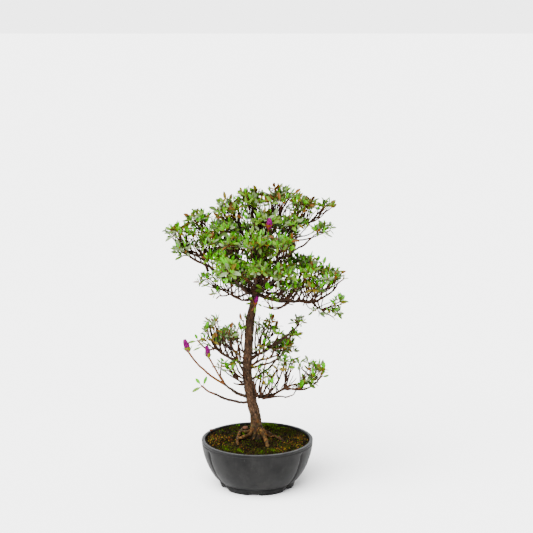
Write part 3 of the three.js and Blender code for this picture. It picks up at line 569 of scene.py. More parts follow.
# Trunk and surface roots
# The bare lower trunk bows to the left and comes back over its foot. Brown fissured bark covers it, a healed
# knob stands out low on its left, and it flares into roots that grip the mound.
TRUNK = {"foot_z": 62, "fork_z": 289, "bows": (-13.1, 1.5, 1.1, 1.1), "depth_bow": 3, "foot": 8.2, "fork": 5}
FLARE = {"wide": 3.4, "top": 0.03, "fades": 0.035}
KNOB = {"at": (-17.5, -6, 138), "size": 4.2, "high": 2.6}
ROOTS = [
    [(-5, -3, 83), (-11, -7, 75), (-19, -10, 73), (-27, -10, 70)],
    [(-20, 46, 66), (-24, 24, 71), (-27, -4, 71.5), (-28, -24, 69.5), (-27, -41, 63)],
    [(3, -4, 84), (8, -12, 78), (11, -22, 73), (14, -34, 69), (17, -49, 62)],
    [(6, -2, 82), (16, 2, 70), (25, -2, 71), (34, -11, 69.5), (42, -20, 64)],
    [(4, 5, 82), (16, 12, 71), (26, 18, 66), (34, 24, 60)],
    [(-5, 5, 82), (-12, 12, 74), (-22, 20, 70), (-32, 26, 63)],
    [(-2, 6, 82), (2, 18, 73), (8, 32, 69), (10, 44, 63)],
    [(-2, -6, 80), (-4, -10, 70), (-6, -14, 65), (-8, -20, 60)],
    [(8, -8, 76), (18, -14, 66), (26, -18, 63), (34, -22, 60)],
]
ROOT_THICK = (2.7, 2.2, 2.6, 1.9, 2.1, 2.2, 2.0, 1.6, 1.3)


def unit(vectors):
    """Vectors drawn to a length of one."""
    return vectors / np.maximum(np.linalg.norm(vectors, axis=-1, keepdims=True), 1e-9)


def rings_along(paths, radii, sides):
    """Rings of points round many paths. The first ring's way out is square to the path and to the axis it
    leans on least; each later ring carries that on, turned with the path. Radii may vary round a ring."""
    along = unit(np.gradient(paths, axis=1))
    out = np.eye(3)[np.abs(along[:, 0]).argmin(-1)]
    outs = []
    for row in range(paths.shape[1]):
        out = unit(out - along[:, row] * (out * along[:, row]).sum(-1, keepdims=True))
        outs.append(out)
    outs = np.stack(outs, 1)[:, :, None]
    turn = (np.arange(sides) * 2 * math.pi / sides)[:, None]
    circle = np.cos(turn) * outs + np.sin(turn) * np.cross(along[:, :, None], outs)
    return paths[:, :, None] + np.asarray(radii)[..., None] * circle


def tubes(rings):
    """Many closed tubes from rings of points: quads between the rings, and a fan of triangles from the
    middle of each end."""
    count, rows, sides, _ = rings.shape
    ends = rings[:, [0, -1]].mean(2)
    points = np.concatenate([rings.reshape(count, -1, 3), ends], 1)
    here, beside = np.arange(sides), np.roll(np.arange(sides), -1)
    first, last = rows * sides, (rows - 1) * sides
    start = np.stack([np.full(sides, first), beside, here], -1)
    end = np.stack([np.full(sides, first + 1), last + here, last + beside], -1)
    step = (first + 2) * np.arange(count)[:, None, None]
    quads = (wrapped_quads(rows, sides) + step).reshape(-1, 4)
    return points, quads, (np.concatenate([start, end]) + step).reshape(-1, 3)


def smooth_path(points, rows):
    """A Catmull-Rom curve through a few points, which may carry a radius too, read at even steps of their
    running distance."""
    points = np.asarray(points, float)
    points = np.concatenate([2 * points[:1] - points[1:2], points, 2 * points[-1:] - points[-2:-1]])
    run = np.concatenate([[0], np.cumsum(np.linalg.norm(np.diff(points[1:-1], axis=0), axis=1))])
    spots = np.linspace(0, run[-1], rows)
    k = np.clip(np.searchsorted(run, spots, side="right") - 1, 0, len(run) - 2)
    t = ((spots - run[k]) / np.maximum(run[k + 1] - run[k], 1e-9))[:, None]
    a, b, c, d = (points[k + i] for i in range(4))
    return 0.5 * (2 * b + (c - a) * t + (2 * a - 5 * b + 4 * c - d) * t**2 + (3 * b - a - 3 * c + d) * t**3)


def bark_relief(places, size, deep, seed, stretch=(1, 1, 4.5)):
    """How far bark stands out: rounded plates parted by sharp fissures that run up the limb."""
    plates = 1 - np.abs(waves(places, size, seed, stretch)) * 1.2
    fine = waves(places, size * 0.4, seed + 1, stretch)
    return deep * (0.5 - np.clip(plates, 0, 1) ** 2 + 0.25 * fine)


def trunk_line(t):
    """The trunk's middle line: four sideways sine waves and one in depth, between foot and fork."""
    x = sum(bow * np.sin((i + 1) * math.pi * t) for i, bow in enumerate(TRUNK["bows"]))
    y = TRUNK["depth_bow"] * np.sin(2 * math.pi * t)
    return np.stack([x, y, TRUNK["foot_z"] + t * (TRUNK["fork_z"] - TRUNK["foot_z"])], -1)


def trunk_radius(t):
    """A taper from foot to fork with a flare that fades within the first tenth."""
    taper = TRUNK["foot"] + (TRUNK["fork"] - TRUNK["foot"]) * t**0.8
    return taper + FLARE["wide"] * np.exp(-np.maximum(t - FLARE["top"], 0) / FLARE["fades"])


def trunk_rings():
    """The swept trunk, its lumps, its knob and its bark's relief, each pushed out along the ring's radius."""
    rows, sides = 300, 72
    t = np.linspace(0, 1, rows)
    path = trunk_line(t)[None]
    rings = rings_along(path, trunk_radius(t)[None, :, None], sides)
    out = unit(rings - path[:, :, None])
    push = 0.3 * waves(rings, 24, 11) + 0.2 * waves(rings, 9, 12) + bark_relief(rings, 3.8, 0.75, 13)
    knob = np.linalg.norm(rings - np.array(KNOB["at"]), axis=-1) / KNOB["size"]
    push += KNOB["high"] * np.exp(-(knob**2))
    return rings + out * push[..., None]


def root_rings(path, thick, seed):
    """A surface root: thick at the trunk, thinner and flatter outwards, crooked and ridged lengthwise."""
    rows, sides = 60, 20
    line = smooth_path(path, rows)
    s = np.linspace(0, 1, rows)
    wander = np.stack([waves(line, 9, seed + k) for k in range(3)], -1)
    line = line + 0.5 * wander * np.sin(math.pi * s)[:, None]
    rings = rings_along(line[None], (thick * (1.15 - 0.55 * s))[None, :, None], sides)
    out = unit(rings - line[None, :, None])
    push = 0.2 * thick * waves(rings, 6, seed + 4) + bark_relief(rings, 2.6, 0.6, seed + 5, (1, 1, 1))
    return rings + out * push[..., None]


def bark_finish(name, dark, mid, light, warm, moss_and_shade=0.0, painted_foot_shade=0.0):
    """Flaking bark: dark in the fissures, paler on the plates, with warm patches where it has peeled. Bark
    with moss also takes painted shade: it darkens towards the fork, where the crown shades it, and is nearly
    black at the foot by its share of painted shade, where the roots' hollows lie. Near the soil it is darker
    in patches, orange in patches and green by its share of moss."""
    material, shader, place = start_material(name, Specular_IOR_Level=0.08)
    streaks = place.stretched(1, 1, 0.42).noise(4.2, 6, 0.72)
    flakes, patches = place.stretched(1, 1, 0.6).noise(2, 5, 0.72), place.noise(14, 3)
    bark = streaks.step(0.4, 0.57).between(dark, mid)
    bark = (flakes.step(0.5, 0.68) * 0.7).between(bark, light)
    bark = (patches.step(0.48, 0.72) * 0.6).between(bark, warm)
    if moss_and_shade:
        height = place.node("ShaderNodeSeparateXYZ", {}, {"Vector": place}, output="Z")
        # Painted shade: darker towards the fork, where the crown shades the trunk.
        bark = (height.step(130 * MM, 260 * MM) * 0.5).between(bark, dark)
        low = 1 - height.step(76 * MM, 116 * MM)
        bark = (low * place.noise(7, 4).step(0.32, 0.56) * 0.85).between(bark, dark)
        bark = (low * place.noise(4, 4).step(0.54, 0.66) * 0.7).between(bark, (0.13, 0.052, 0.009))
        bark = (low * place.noise(5, 4).step(0.46, 0.72) * moss_and_shade).between(bark, (0.045, 0.052, 0.01))
        # Painted shade: nearly black low at the foot, where the roots' hollows lie.
        bark = ((1 - height.step(69 * MM, 78 * MM)) * painted_foot_shade).between(bark, (0.004, 0.0022, 0.001))
    bark.feed(shader, "Base Color")
    (0.7 + streaks * 0.25).feed(shader, "Roughness")
    (streaks * 0.6 + flakes * 0.4).bump(0.5, 0.8).feed(shader, "Normal")
    return material


trunk_bark = bark_finish(
    "trunk_bark",
    dark=(0.0075, 0.0038, 0.0018),
    mid=(0.036, 0.0185, 0.009),
    light=(0.125, 0.072, 0.04),
    warm=(0.066, 0.025, 0.008),
    moss_and_shade=0.5,
    painted_foot_shade=1,
)
trunk = put("trunk_bark", *tubes(trunk_rings()))
finish(trunk, trunk_bark, "bark", "trunk")
root_bark = bark_finish(
    "root_bark",
    dark=(0.006, 0.003, 0.001),
    mid=(0.055, 0.024, 0.006),
    light=(0.21, 0.1, 0.024),
    warm=(0.15, 0.056, 0.008),
    moss_and_shade=0.25,
    painted_foot_shade=0.2,
)
roots = [root_rings(path, thick, 90 + 7 * k) for k, (path, thick) in enumerate(zip(ROOTS, ROOT_THICK))]
surface_roots = put("surface_roots", *tubes(np.concatenate(roots)))
finish(surface_roots, root_bark, "bark")

# Boughs
# Each bough leaves the trunk or a thicker bough and sags or rises to its tip, where a pad of foliage starts.
# Old wood, crooked and knotty, with thinner bark than the trunk's.
# A bough's line: the limb it leaves, where along it, its tip, how far its middle hangs, and its thickness at
# foot and tip.
BOUGHS = {
    "leader": ("trunk", 1, (7, 8, 349), -2, (8.6, 5.4)),
    "bough_left": ("trunk", 0.97, (-72, -8, 324), 11, (6.4, 3.6)),
    "bough_right_low": ("trunk", 0.955, (81, -8, 271), 9, (6.4, 3.4)),
    "bough_front": ("trunk", 0.985, (-4, -42, 319), 6, (5, 3.2)),
    "bough_front_left": ("trunk", 0.95, (-30, -41, 305), 7, (4.6, 3)),
    "bough_front_right": ("trunk", 0.965, (29, -38, 312), 6, (4.8, 3)),
    "bough_low_left": ("trunk", 0.93, (-36, -10, 279), 8, (3.8, 2.4)),
    "bough_back_left": ("trunk", 0.975, (-27, 45, 315), 7, (5.2, 3.2)),
    "bough_back": ("leader", 0.22, (8, 52, 324), 7, (5, 3.2)),
    "bough_back_right": ("trunk", 0.96, (42, 42, 304), 7, (5, 3.2)),
    "bough_left_upper": ("leader", 0.3, (-49, 22, 345), 6, (4.6, 3)),
    "bough_top_left": ("leader", 0.62, (-20, 3, 362), 3, (4, 3)),
    "bough_top_right": ("leader", 0.72, (45, 0, 363), 4, (4.4, 3)),
    "bough_right_tip": ("leader", 0.45, (76, -24, 363), 9, (4, 2)),
    "bough_right_mid": ("bough_right_low", 0.36, (44, -22, 277), 2, (3, 2)),
    "bough_right_drop": ("bough_right_low", 0.93, (93, -11, 257), 3, (2.6, 2)),
    "bough_under": ("bough_right_low", 0.6, (19, -24, 263), 9, (2.6, 1.8)),
    "low_left_bough": ("trunk", 0.5, (-60, -6, 203), 3, (5, 2.8)),
    "whip_foot": ("trunk", 0.28, (-47, -13, 152), 5, (4.4, 3.4)),
    "whip_low_foot": ("trunk", 0.262, (-60, -12, 137), 8, (3.8, 3.2)),
    "low_right_upper": ("trunk", 0.535, (46, -5, 222), 2, (4, 2.2)),
    "low_right_inner": ("trunk", 0.56, (9, 12, 203), 2, (3.2, 2.4)),
    "low_right_mid": ("trunk", 0.48, (33, -15, 191), 5, (3.4, 2.2)),
    "low_right_bough": ("trunk", 0.3, (38, -8, 143), 9, (4.6, 3)),
    "low_right_outer": ("low_right_bough", 1, (64, -12, 146), 1, (2.8, 2)),
    "low_back_left": ("trunk", 0.45, (-36, 34, 186), 5, (3.4, 2.4)),
    "low_back_right": ("trunk", 0.4, (27, 36, 172), 5, (3.4, 2.4)),
}


def bow(start, middle, tip):
    """A quadratic curve from start to tip that leans towards a middle point, as a function of 0 to 1."""

    def line(t):
        t = np.asarray(t, float)[..., None]
        return (1 - t) ** 2 * start + 2 * t * (1 - t) * middle + t**2 * tip

    return line


limb_lines, limb_ends = {"trunk": trunk_line}, {}
for name, (parent, at, tip, sag, thick) in BOUGHS.items():
    start, end = limb_lines[parent](np.array(float(at))), np.array(tip, float)
    limb_lines[name] = bow(start, (start + end) / 2 - np.array([0, 0, sag]), end)
    limb_ends[name] = thick


def crook(places):
    """The wander of wood that has grown slowly: two sizes of waves for each axis, the same for all limbs at
    one place, so that what is joined stays joined."""
    wide = np.stack([waves(places[..., :3], 26, 300 + k) for k in range(3)], -1)
    fine = np.stack([waves(places[..., :3], 9, 310 + k) for k in range(3)], -1)
    return 0.8 * wide + 0.35 * fine


def bough_rings(name, seed):
    """A tapering limb: its line made crooked, with swellings and bark pushed out round it."""
    rows, sides = 48, 14
    t = np.linspace(0, 1, rows)
    path = limb_lines[name](t)
    path = path + crook(path)
    foot, end = limb_ends[name]
    radius = (foot + (end - foot) * t) / 2 * (1 + 0.1 * waves(path, 11, seed + 3))
    rings = rings_along(path[None], radius[None, :, None], sides)
    out = unit(rings - path[None, :, None])
    return rings + out * bark_relief(rings, 2.4, 0.35, seed + 4, (1, 1, 1))[..., None]


bough_bark = bark_finish(
    "bough_bark",
    dark=(0.008, 0.0045, 0.003),
    mid=(0.026, 0.015, 0.009),
    light=(0.06, 0.038, 0.025),
    warm=(0.036, 0.017, 0.009),
)
all_boughs = np.concatenate([bough_rings(name, 200 + 9 * k) for k, name in enumerate(BOUGHS)])
boughs = put("boughs", *tubes(all_boughs))
finish(boughs, bough_bark, "bark", *BOUGHS)

# Twigs
# Old twigs fork again and again off the boughs and turn up to the light; the last stretch of each is a
# red-brown shoot of this year. Pads are the spaces their foliage fills: a middle and three half sizes.
# Masses of foliage: the limb each grows from, and its pads. Most grow all along their limb. A third item
# says where along the limb the only stem of a mass starts.
MASSES = {
    "crown_top": (
        "leader",
        [(31, 5, 413, 22, 26, 20), (-8, 10, 409, 22, 26, 20), (10, -18, 386, 21, 20, 17)],
    ),
    "top_left": ("bough_top_left", [(-37, 0, 396, 23, 26, 21), (-40, -18, 372, 17, 15, 13)]),
    "top_right": (
        "bough_top_right",
        [(66, 0, 402, 20, 24, 20), (51, -8, 379, 22, 23, 15), (96, -4, 403, 15, 11, 11)],
    ),
    "right_tip": ("bough_right_tip", [(91, -25, 373, 16, 15, 11)]),
    "left": (
        "bough_left",
        [(-109, -8, 367, 21, 18, 14), (-67, -8, 353, 22, 23, 18), (-105, -14, 345, 12, 12, 11)]
        + [(-60, -12, 331, 13, 14, 12)],
    ),
    "left_upper": ("bough_left_upper", [(-84, 16, 381, 21, 20, 15), (-50, 25, 367, 21, 24, 17)]),
    "front_left": (
        "bough_front_left",
        [(-36, -52, 325, 22, 24, 19), (-30, -42, 356, 17, 20, 14), (-46, -30, 333, 14, 14, 13)],
    ),
    "front": (
        "bough_front",
        [(-2, -56, 359, 21, 24, 18), (2, -58, 324, 19, 22, 15), (12, -50, 342, 14, 14, 11)],
    ),
    "front_right": ("bough_front_right", [(32, -48, 354, 20, 24, 19), (37, -46, 316, 19, 23, 18)]),
    "low_left": (
        "bough_low_left",
        [(-71, -14, 302, 14, 12, 12), (-49, -15, 302, 13, 14, 12), (-58, -12, 281, 8, 7, 6)]
        + [(-26, -22, 298, 15, 13, 13)],
    ),
    "right_low": (
        "bough_right_low",
        [(73, -8, 313, 20, 26, 19), (104, -10, 304, 20, 21, 17), (80, -22, 294, 17, 15, 9)],
    ),
    "right_middle": ("bough_right_mid", [(48, -24, 292, 18, 16, 13)]),
    "right_drop": (
        "bough_right_drop",
        [(114, -12, 268, 13, 10, 15), (109, -14, 253, 13, 10, 8), (80, -14, 256, 9, 8, 6)],
    ),
    "under": ("bough_under", [(16, -31, 277, 12, 12, 11)]),
    "back_left": ("bough_back_left", [(-46, 62, 333, 25, 25, 20), (-22, 58, 358, 21, 23, 18)]),
    "back": ("bough_back", [(16, 58, 364, 22, 24, 20), (4, 74, 330, 24, 22, 20)]),
    "back_right": ("bough_back_right", [(62, 52, 311, 26, 23, 16), (49, 40, 359, 16, 18, 13)]),
    "low_left_top": ("low_left_bough", [(-66, -6, 228, 13, 14, 19), (-39, -6, 220, 16, 16, 14)]),
    "low_left_small": ("trunk", [(-43, -13, 176, 16, 13, 11)], 0.37),
    "low_right_top": ("low_right_upper", [(58, -5, 239, 11, 10, 11), (54, -5, 219, 9, 9, 8)]),
    "low_right_middle": ("low_right_inner", [(17, 12, 224, 19, 16, 15)]),
    "low_right_front": ("low_right_mid", [(38, -15, 204, 15, 13, 12)]),
    "low_right_foot": ("low_right_bough", [(42, -14, 179, 15, 15, 14), (11, -14, 158, 12, 12, 15)]),
    "low_right_end": ("low_right_outer", [(82, -12, 171, 17, 15, 14), (72, -14, 151, 12, 12, 9)]),
    "low_back_left_mass": ("low_back_left", [(-46, 44, 202, 21, 20, 17)]),
    "low_back_right_mass": ("low_back_right", [(38, 48, 189, 21, 20, 18)]),
}
# Thickets of bare twigs low in the crown and close to the trunk.
THICKETS = {
    "crown_top": [(10, 4, 362, 24, 20, 16), (4, 4, 336, 30, 18, 16), (2, 0, 312, 24, 14, 14)],
    "top_left": [(-24, 2, 374, 14, 12, 10)],
    "top_right": [(32, 0, 374, 16, 12, 10)],
    "left_upper": [(-40, 18, 348, 24, 14, 12)],
    "front": [(-4, -26, 326, 28, 16, 14), (-2, -30, 308, 28, 14, 11)],
    "front_left": [(-32, -30, 316, 22, 14, 14)],
    "front_right": [(26, -30, 316, 22, 14, 14)],
    "right_middle": [(30, -24, 292, 20, 12, 13)],
    "right_low": [(52, -8, 292, 26, 12, 12), (84, -14, 286, 24, 12, 10), (60, -18, 302, 22, 12, 10)],
    "left": [(-36, -8, 316, 24, 12, 12), (-64, -9, 336, 20, 12, 12), (-88, -10, 350, 18, 10, 10)],
    "low_left": [(-24, -12, 292, 16, 10, 10)],
    "back": [(8, 34, 318, 24, 16, 14)],
    "back_left": [(-22, 28, 312, 18, 14, 13)],
    "back_right": [(34, 26, 306, 20, 14, 12)],
    "low_right_end": [(58, -12, 160, 14, 7, 8)],
}
# Fans of long thin stems that rise from the fork into the crown: where along the trunk each starts, the
# spaces its leafy tips reach, and those of its bare ones.
FANS = [
    (0.97, [(-14, -36, 312, 14, 12, 12), (18, -38, 314, 14, 12, 12)], [(0, -20, 306, 24, 14, 12)]),
    (0.95, [(38, -26, 304, 14, 10, 11)], [(22, -14, 300, 18, 10, 12), (-20, -14, 300, 18, 10, 12)]),
    (0.99, [(4, -40, 334, 16, 12, 10)], [(-8, -4, 320, 20, 14, 16), (16, -2, 322, 20, 14, 16)]),
]
# Long stems of the lower tier that stand free of each other, each read off a close-up of the picture: what
# its end carries, its depths at the foot and at the end, and its line in the close-up.
CLOSE_UP = {"corner": (180, 310), "times": 5}
# A stem's end is bare, carries a rosette, or carries one that is mostly new growth.
BARE, LEAFY, BRIGHT = 0, 1, 2
STEMS = [
    (LEAFY, -6, -14, [(392, 442), (374, 390), (372, 340), (390, 306)]),
    (BRIGHT, -4, 4, [(396, 440), (400, 380), (398, 335), (404, 296)]),
    (LEAFY, -8, -20, [(402, 438), (414, 340), (426, 275), (434, 238)]),
    (LEAFY, -8, -26, [(404, 438), (440, 372), (466, 326)]),
    (LEAFY, -8, 10, [(440, 372), (470, 318), (496, 262)]),
    (LEAFY, -8, -18, [(408, 440), (462, 400), (496, 345), (520, 292), (520, 262)]),
    (LEAFY, -8, -24, [(496, 345), (486, 318), (492, 296)]),
    (LEAFY, -8, -16, [(412, 442), (470, 425), (522, 388), (546, 330), (568, 252)]),
    (LEAFY, -14, -4, [(522, 388), (582, 372), (638, 368), (650, 325), (640, 262)]),
    (BRIGHT, -14, -22, [(522, 390), (604, 400), (652, 386), (692, 350), (716, 296)]),
    (BRIGHT, -14, -28, [(522, 392), (572, 398), (600, 388)]),
    (BRIGHT, -14, -24, [(436, 428), (456, 392), (456, 372)]),
    (LEAFY, -10, -2, [(648, 330), (622, 306), (604, 290)]),
    (BRIGHT, -12, -20, [(650, 378), (668, 352), (674, 338)]),
    (BRIGHT, -12, -14, [(692, 350), (706, 338), (712, 326)]),
    (LEAFY, -2, -14, [(388, 226), (376, 150), (382, 70)]),
    (LEAFY, -3, -12, [(396, 216), (412, 124), (440, 86), (456, 58)]),
    (LEAFY, -3, 6, [(412, 210), (424, 150), (410, 76)]),
    (LEAFY, -3, -16, [(432, 200), (444, 156), (434, 126)]),
    (LEAFY, -4, -20, [(452, 190), (478, 152), (492, 126)]),
    (LEAFY, -4, 2, [(472, 180), (506, 150), (520, 126)]),
    (BRIGHT, -10, -16, [(404, 254), (418, 228), (420, 178)]),
    (BARE, -10, -20, [(446, 240), (476, 200), (524, 190)]),
    (LEAFY, -5, -8, [(530, 138), (548, 142), (564, 134)]),
    (LEAFY, -3, -10, [(300, 252), (290, 180), (284, 122), (292, 92)]),
    (LEAFY, -4, -14, [(290, 246), (262, 190), (246, 132), (246, 98)]),
    (LEAFY, -4, 4, [(242, 226), (216, 162), (212, 112)]),
    (LEAFY, -5, -10, [(216, 216), (192, 160), (186, 112), (172, 58)]),
    (BRIGHT, -6, -14, [(182, 192), (152, 150), (138, 98)]),
    (LEAFY, -3, 8, [(278, 250), (282, 200), (300, 160), (322, 84)]),
    (LEAFY, -2, 14, [(322, 200), (326, 120), (328, 48)]),
    (LEAFY, -5, -18, [(192, 196), (172, 168), (160, 150)]),
    (BRIGHT, -6, -18, [(318, 376), (290, 346), (254, 312), (238, 300)]),
    (LEAFY, -8, -14, [(290, 346), (268, 294), (256, 264)]),
    (LEAFY, -13, -14, [(226, 372), (202, 322), (206, 266)]),
    (BARE, -6, -12, [(314, 374), (290, 372), (268, 366)]),
    (LEAFY, -6, -16, [(316, 330), (296, 306), (276, 262)]),
]
# Limbs and stems round the crown's edge and beside the trunk, read off the picture itself: what the end
# carries, the radius at the foot, the two depths, and the line in the picture.
OUTER = [
    (LEAFY, 1.9, -8, -12, [(316, 302), (322, 298), (330, 293), (335, 288), (338, 283), (343, 280)]),
    (LEAFY, 1.1, -9, -4, [(333, 290), (334, 285), (335, 281)]),
    (BRIGHT, 1.0, -9, -16, [(326, 295), (327, 290), (330, 286)]),
    (LEAFY, 1.1, -11, -10, [(323, 311), (328, 314), (334, 318)]),
    (BARE, 0.9, -8, -11, [(323, 298), (322, 304), (322, 311)]),
    (BARE, 1.3, -8, -14, [(300, 300), (296, 292), (293, 285), (291, 279)]),
    (BARE, 1.3, -8, -18, [(293, 297), (296, 292), (300, 288), (301, 283)]),
    (BARE, 1.4, -8, -12, [(303, 300), (303, 293), (301, 287), (300, 280)]),
    (BARE, 1.2, -8, -20, [(306, 300), (305, 290), (304, 284), (305, 279)]),
    (BARE, 1.2, -8, -14, [(312, 301), (309, 294), (307, 288), (306, 283)]),
    (BARE, 1.2, -8, -20, [(313, 300), (312, 292), (312, 285), (310, 280)]),
    (BARE, 1.2, -8, -16, [(316, 300), (315, 292), (317, 285), (319, 280)]),
    (BARE, 1.2, -8, -10, [(320, 299), (323, 292), (323, 284), (324, 280)]),
    (LEAFY, 1.5, -8, -24, [(288, 245), (294, 241), (300, 240), (310, 239), (318, 236), (325, 233)]),
    (BRIGHT, 1.3, -8, -20, [(286, 238), (292, 237), (300, 237), (308, 236), (312, 234), (315, 231)]),
    (LEAFY, 1.0, -12, -24, [(294, 241), (298, 237), (303, 232), (305, 230)]),
    (LEAFY, 2.3, -8, -8, [(208, 271), (205, 265), (200, 262.5), (194, 260.5), (189, 257)]
     + [(185, 251), (182, 242), (179, 232)]),
    (BRIGHT, 1.1, -8, -10, [(189, 257), (184, 253), (180, 249), (178, 246)]),
    (LEAFY, 1.0, -8, -16, [(189, 257), (184, 256), (181, 257)]),
    (LEAFY, 1.2, -8, -14, [(191, 259), (188, 252), (187, 246), (186, 242)]),
    (LEAFY, 1.2, -8, -2, [(195, 260), (193, 254), (191, 248), (190, 243)]),
    (LEAFY, 1.2, -8, -12, [(200, 261), (197, 254), (193, 246)]),
    (BARE, 1.2, -8, -12, [(204, 262), (200, 255), (196, 249), (194, 243)]),
    (BARE, 1.9, -8, -14, [(250, 291), (244, 295), (237, 297), (232, 295.5), (228, 295)]
     + [(223, 297), (219, 296.5), (215.5, 299)]),
    (BRIGHT, 0.8, -14, -14, [(221, 297), (219, 295), (217.5, 293)]),
    (LEAFY, 1.2, -12, -16, [(229, 295), (224, 292), (219, 288), (214, 284), (208, 277)]),
    (LEAFY, 1.2, -12, -20, [(229, 295), (226, 290), (223.5, 285)]),
    (LEAFY, 1.7, -12, -22, [(233, 296), (232, 290), (231, 283), (230, 277)]),
    (BARE, 1.1, -12, -22, [(234, 294), (237, 290), (240, 287)]),
    (BARE, 2.4, -3, -5, [(250, 362), (257, 355), (266, 349), (275, 343)]),
    (BARE, 2.2, -8, -10, [(250, 367), (259, 361), (269, 358), (278, 355)]),
    (LEAFY, 1.3, -4, -12, [(254, 357), (257, 349), (259, 341), (258, 334)]),
    (LEAFY, 1.3, -8, -16, [(255, 363), (258, 357), (260, 350)]),
    (LEAFY, 1.3, -6, -16, [(255, 390), (256, 382), (259, 376), (259, 368)]),
    (LEAFY, 1.3, -2, -8, [(247, 360), (243, 352), (241, 342), (241, 332)]),
    (LEAFY, 1.2, -6, -14, [(247, 380), (243, 371), (239, 362), (238, 355)]),
    (LEAFY, 0.9, -6, -14, [(250, 236), (246, 226), (243, 218)]),
    (BRIGHT, 0.9, -6, -16, [(252, 236), (250, 226), (247, 221)]),
    (LEAFY, 0.9, 0, -6, [(284, 228), (286, 216), (287, 206)]),
    (LEAFY, 0.9, 0, 4, [(284, 228), (289, 218), (290, 210)]),
    (LEAFY, 1.0, -8, -14, [(205, 250), (199, 242), (195, 234)]),
    (LEAFY, 1.0, -8, -4, [(204, 250), (201, 240), (198, 232)]),
    (BRIGHT, 0.9, -8, -12, [(206, 252), (197, 245), (193, 238)]),
    (BARE, 1.4, -4, -8, [(246, 357), (240, 349), (236, 340)]),
    (BARE, 1.4, -5, -12, [(246, 362), (240, 356), (234, 350)]),
    (LEAFY, 1.4, -6, -12, [(222, 352), (214, 348), (208, 345), (203, 342)]),
    (BARE, 1.8, -12, -14, [(262, 398.5), (277, 396.8), (290, 396.5)]),
    (LEAFY, 1.0, -16, -26, [(249, 275), (248, 266), (246, 257)]),
    (LEAFY, 1.0, -16, -26, [(268, 276), (269, 267), (270, 260)]),
    (BRIGHT, 1.0, -12, -20, [(280, 272), (281, 262), (282, 254)]),
    (LEAFY, 1.0, -12, -24, [(284, 274), (284, 268), (284, 262)]),
    (BRIGHT, 1.2, -14, -24, [(284, 397), (292, 395.5), (296, 391), (300, 386)]),
    (BRIGHT, 1.0, -16, -28, [(251, 274), (252, 266), (252, 259)]),
    (LEAFY, 1.0, -16, -28, [(248, 270), (247, 262), (248, 253)]),
    (BARE, 1.3, -8, -22, [(255, 294), (248, 285), (241, 277)]),
    (BARE, 1.3, -8, -22, [(256, 294), (251, 283), (246, 272)]),
    (BARE, 1.4, -8, -24, [(257, 294), (255, 283), (252, 272)]),
    (BARE, 1.4, -8, -24, [(258, 294), (260, 282), (259, 270)]),
    (BARE, 1.3, -8, -24, [(259, 295), (265, 285), (269, 275)]),
    (BARE, 1.3, -8, -22, [(260, 296), (270, 289), (278, 282)]),
    (BARE, 1.3, -8, -20, [(261, 297), (273, 293), (284, 287)]),
    (LEAFY, 1.0, -8, -10, [(306, 275), (309, 265), (311, 258)]),
    (BRIGHT, 1.0, -8, -12, [(311, 276), (315, 268), (318, 261)]),
    (LEAFY, 1.0, -8, -12, [(316, 279), (321, 272), (324, 265)]),
    (LEAFY, 0.9, 6, 6, [(256, 204), (258, 197), (258, 191)]),
    (LEAFY, 0.9, 6, 6, [(268, 204), (270, 197), (271, 191)]),
    (LEAFY, 0.9, 6, 6, [(243, 207), (243, 200), (243, 194)]),
    (LEAFY, 1.0, -8, -14, [(212, 336), (210, 328), (208, 321)]),
    (LEAFY, 1.0, -6, -10, [(218, 334), (218, 327), (217, 320)]),
    (LEAFY, 1.1, -2, -10, [(247, 336), (243, 327), (243, 321)]),
    (LEAFY, 1.1, -2, -8, [(257, 335), (259, 327), (259, 320)]),
    (LEAFY, 0.9, -4, -12, [(270, 332), (270, 324), (270, 318)]),
    (LEAFY, 1.0, -8, -14, [(214, 350), (209, 344), (205, 339)]),
    (LEAFY, 1.1, -10, -14, [(300, 386), (300, 373), (299, 363)]),
    (BARE, 2.2, -8, -10, [(266, 293), (276, 293), (283, 296), (288, 299)]),
    (BARE, 1.6, -10, -14, [(293, 296), (290, 301), (285, 305), (279, 307.5), (270, 307)]),
    (BARE, 2.0, -8, -9, [(297, 299), (303, 302), (311, 303), (318, 301), (324, 297)]),
    (BARE, 1.0, -9, -12, [(290, 300), (290.5, 304), (294, 304.5)]),
    (BARE, 1.2, -9, -10, [(304, 300), (304, 303), (303.5, 306)]),
    (BARE, 0.9, -9, -12, [(305, 303), (307, 306), (309.5, 308.5)]),
    (BARE, 1.6, -9, -12, [(318, 300), (319, 306), (322, 310.5)]),
    (BARE, 1.1, -12, -12, [(322, 310.5), (328, 307.5), (333, 303)]),
]
GOLDEN = math.pi * (3 - math.sqrt(5))
# How twig tips are dealt out over a pad: the area that each takes in the crown, in the lower tier and in a
# bare thicket, how far down the dome they go, how far in they lie, and how deep in another pad one is buried.
TIPS = {
    "area": 13.5,
    "low_area": 9,
    "bare_area": 15,
    "dome": 1.45,
    "inset": 2.5,
    "core": 0.5,
    "shallow": 0.4,
    "buried": 0.35,
}
# Masses with fewer twigs than the rest, by how many times. Most are in the lower tier, where STEMS stand.
SPARSE = {
    "right_drop": 1.6,
    "under": 6,
    "low_left": 1.6,
    "low_left_small": 3,
    "low_right_middle": 2,
    "low_right_front": 20,
    "low_right_top": 1.5,
    "low_right_foot": 3,
    "low_right_end": 1.5,
    "low_left_top": 2.6,
}
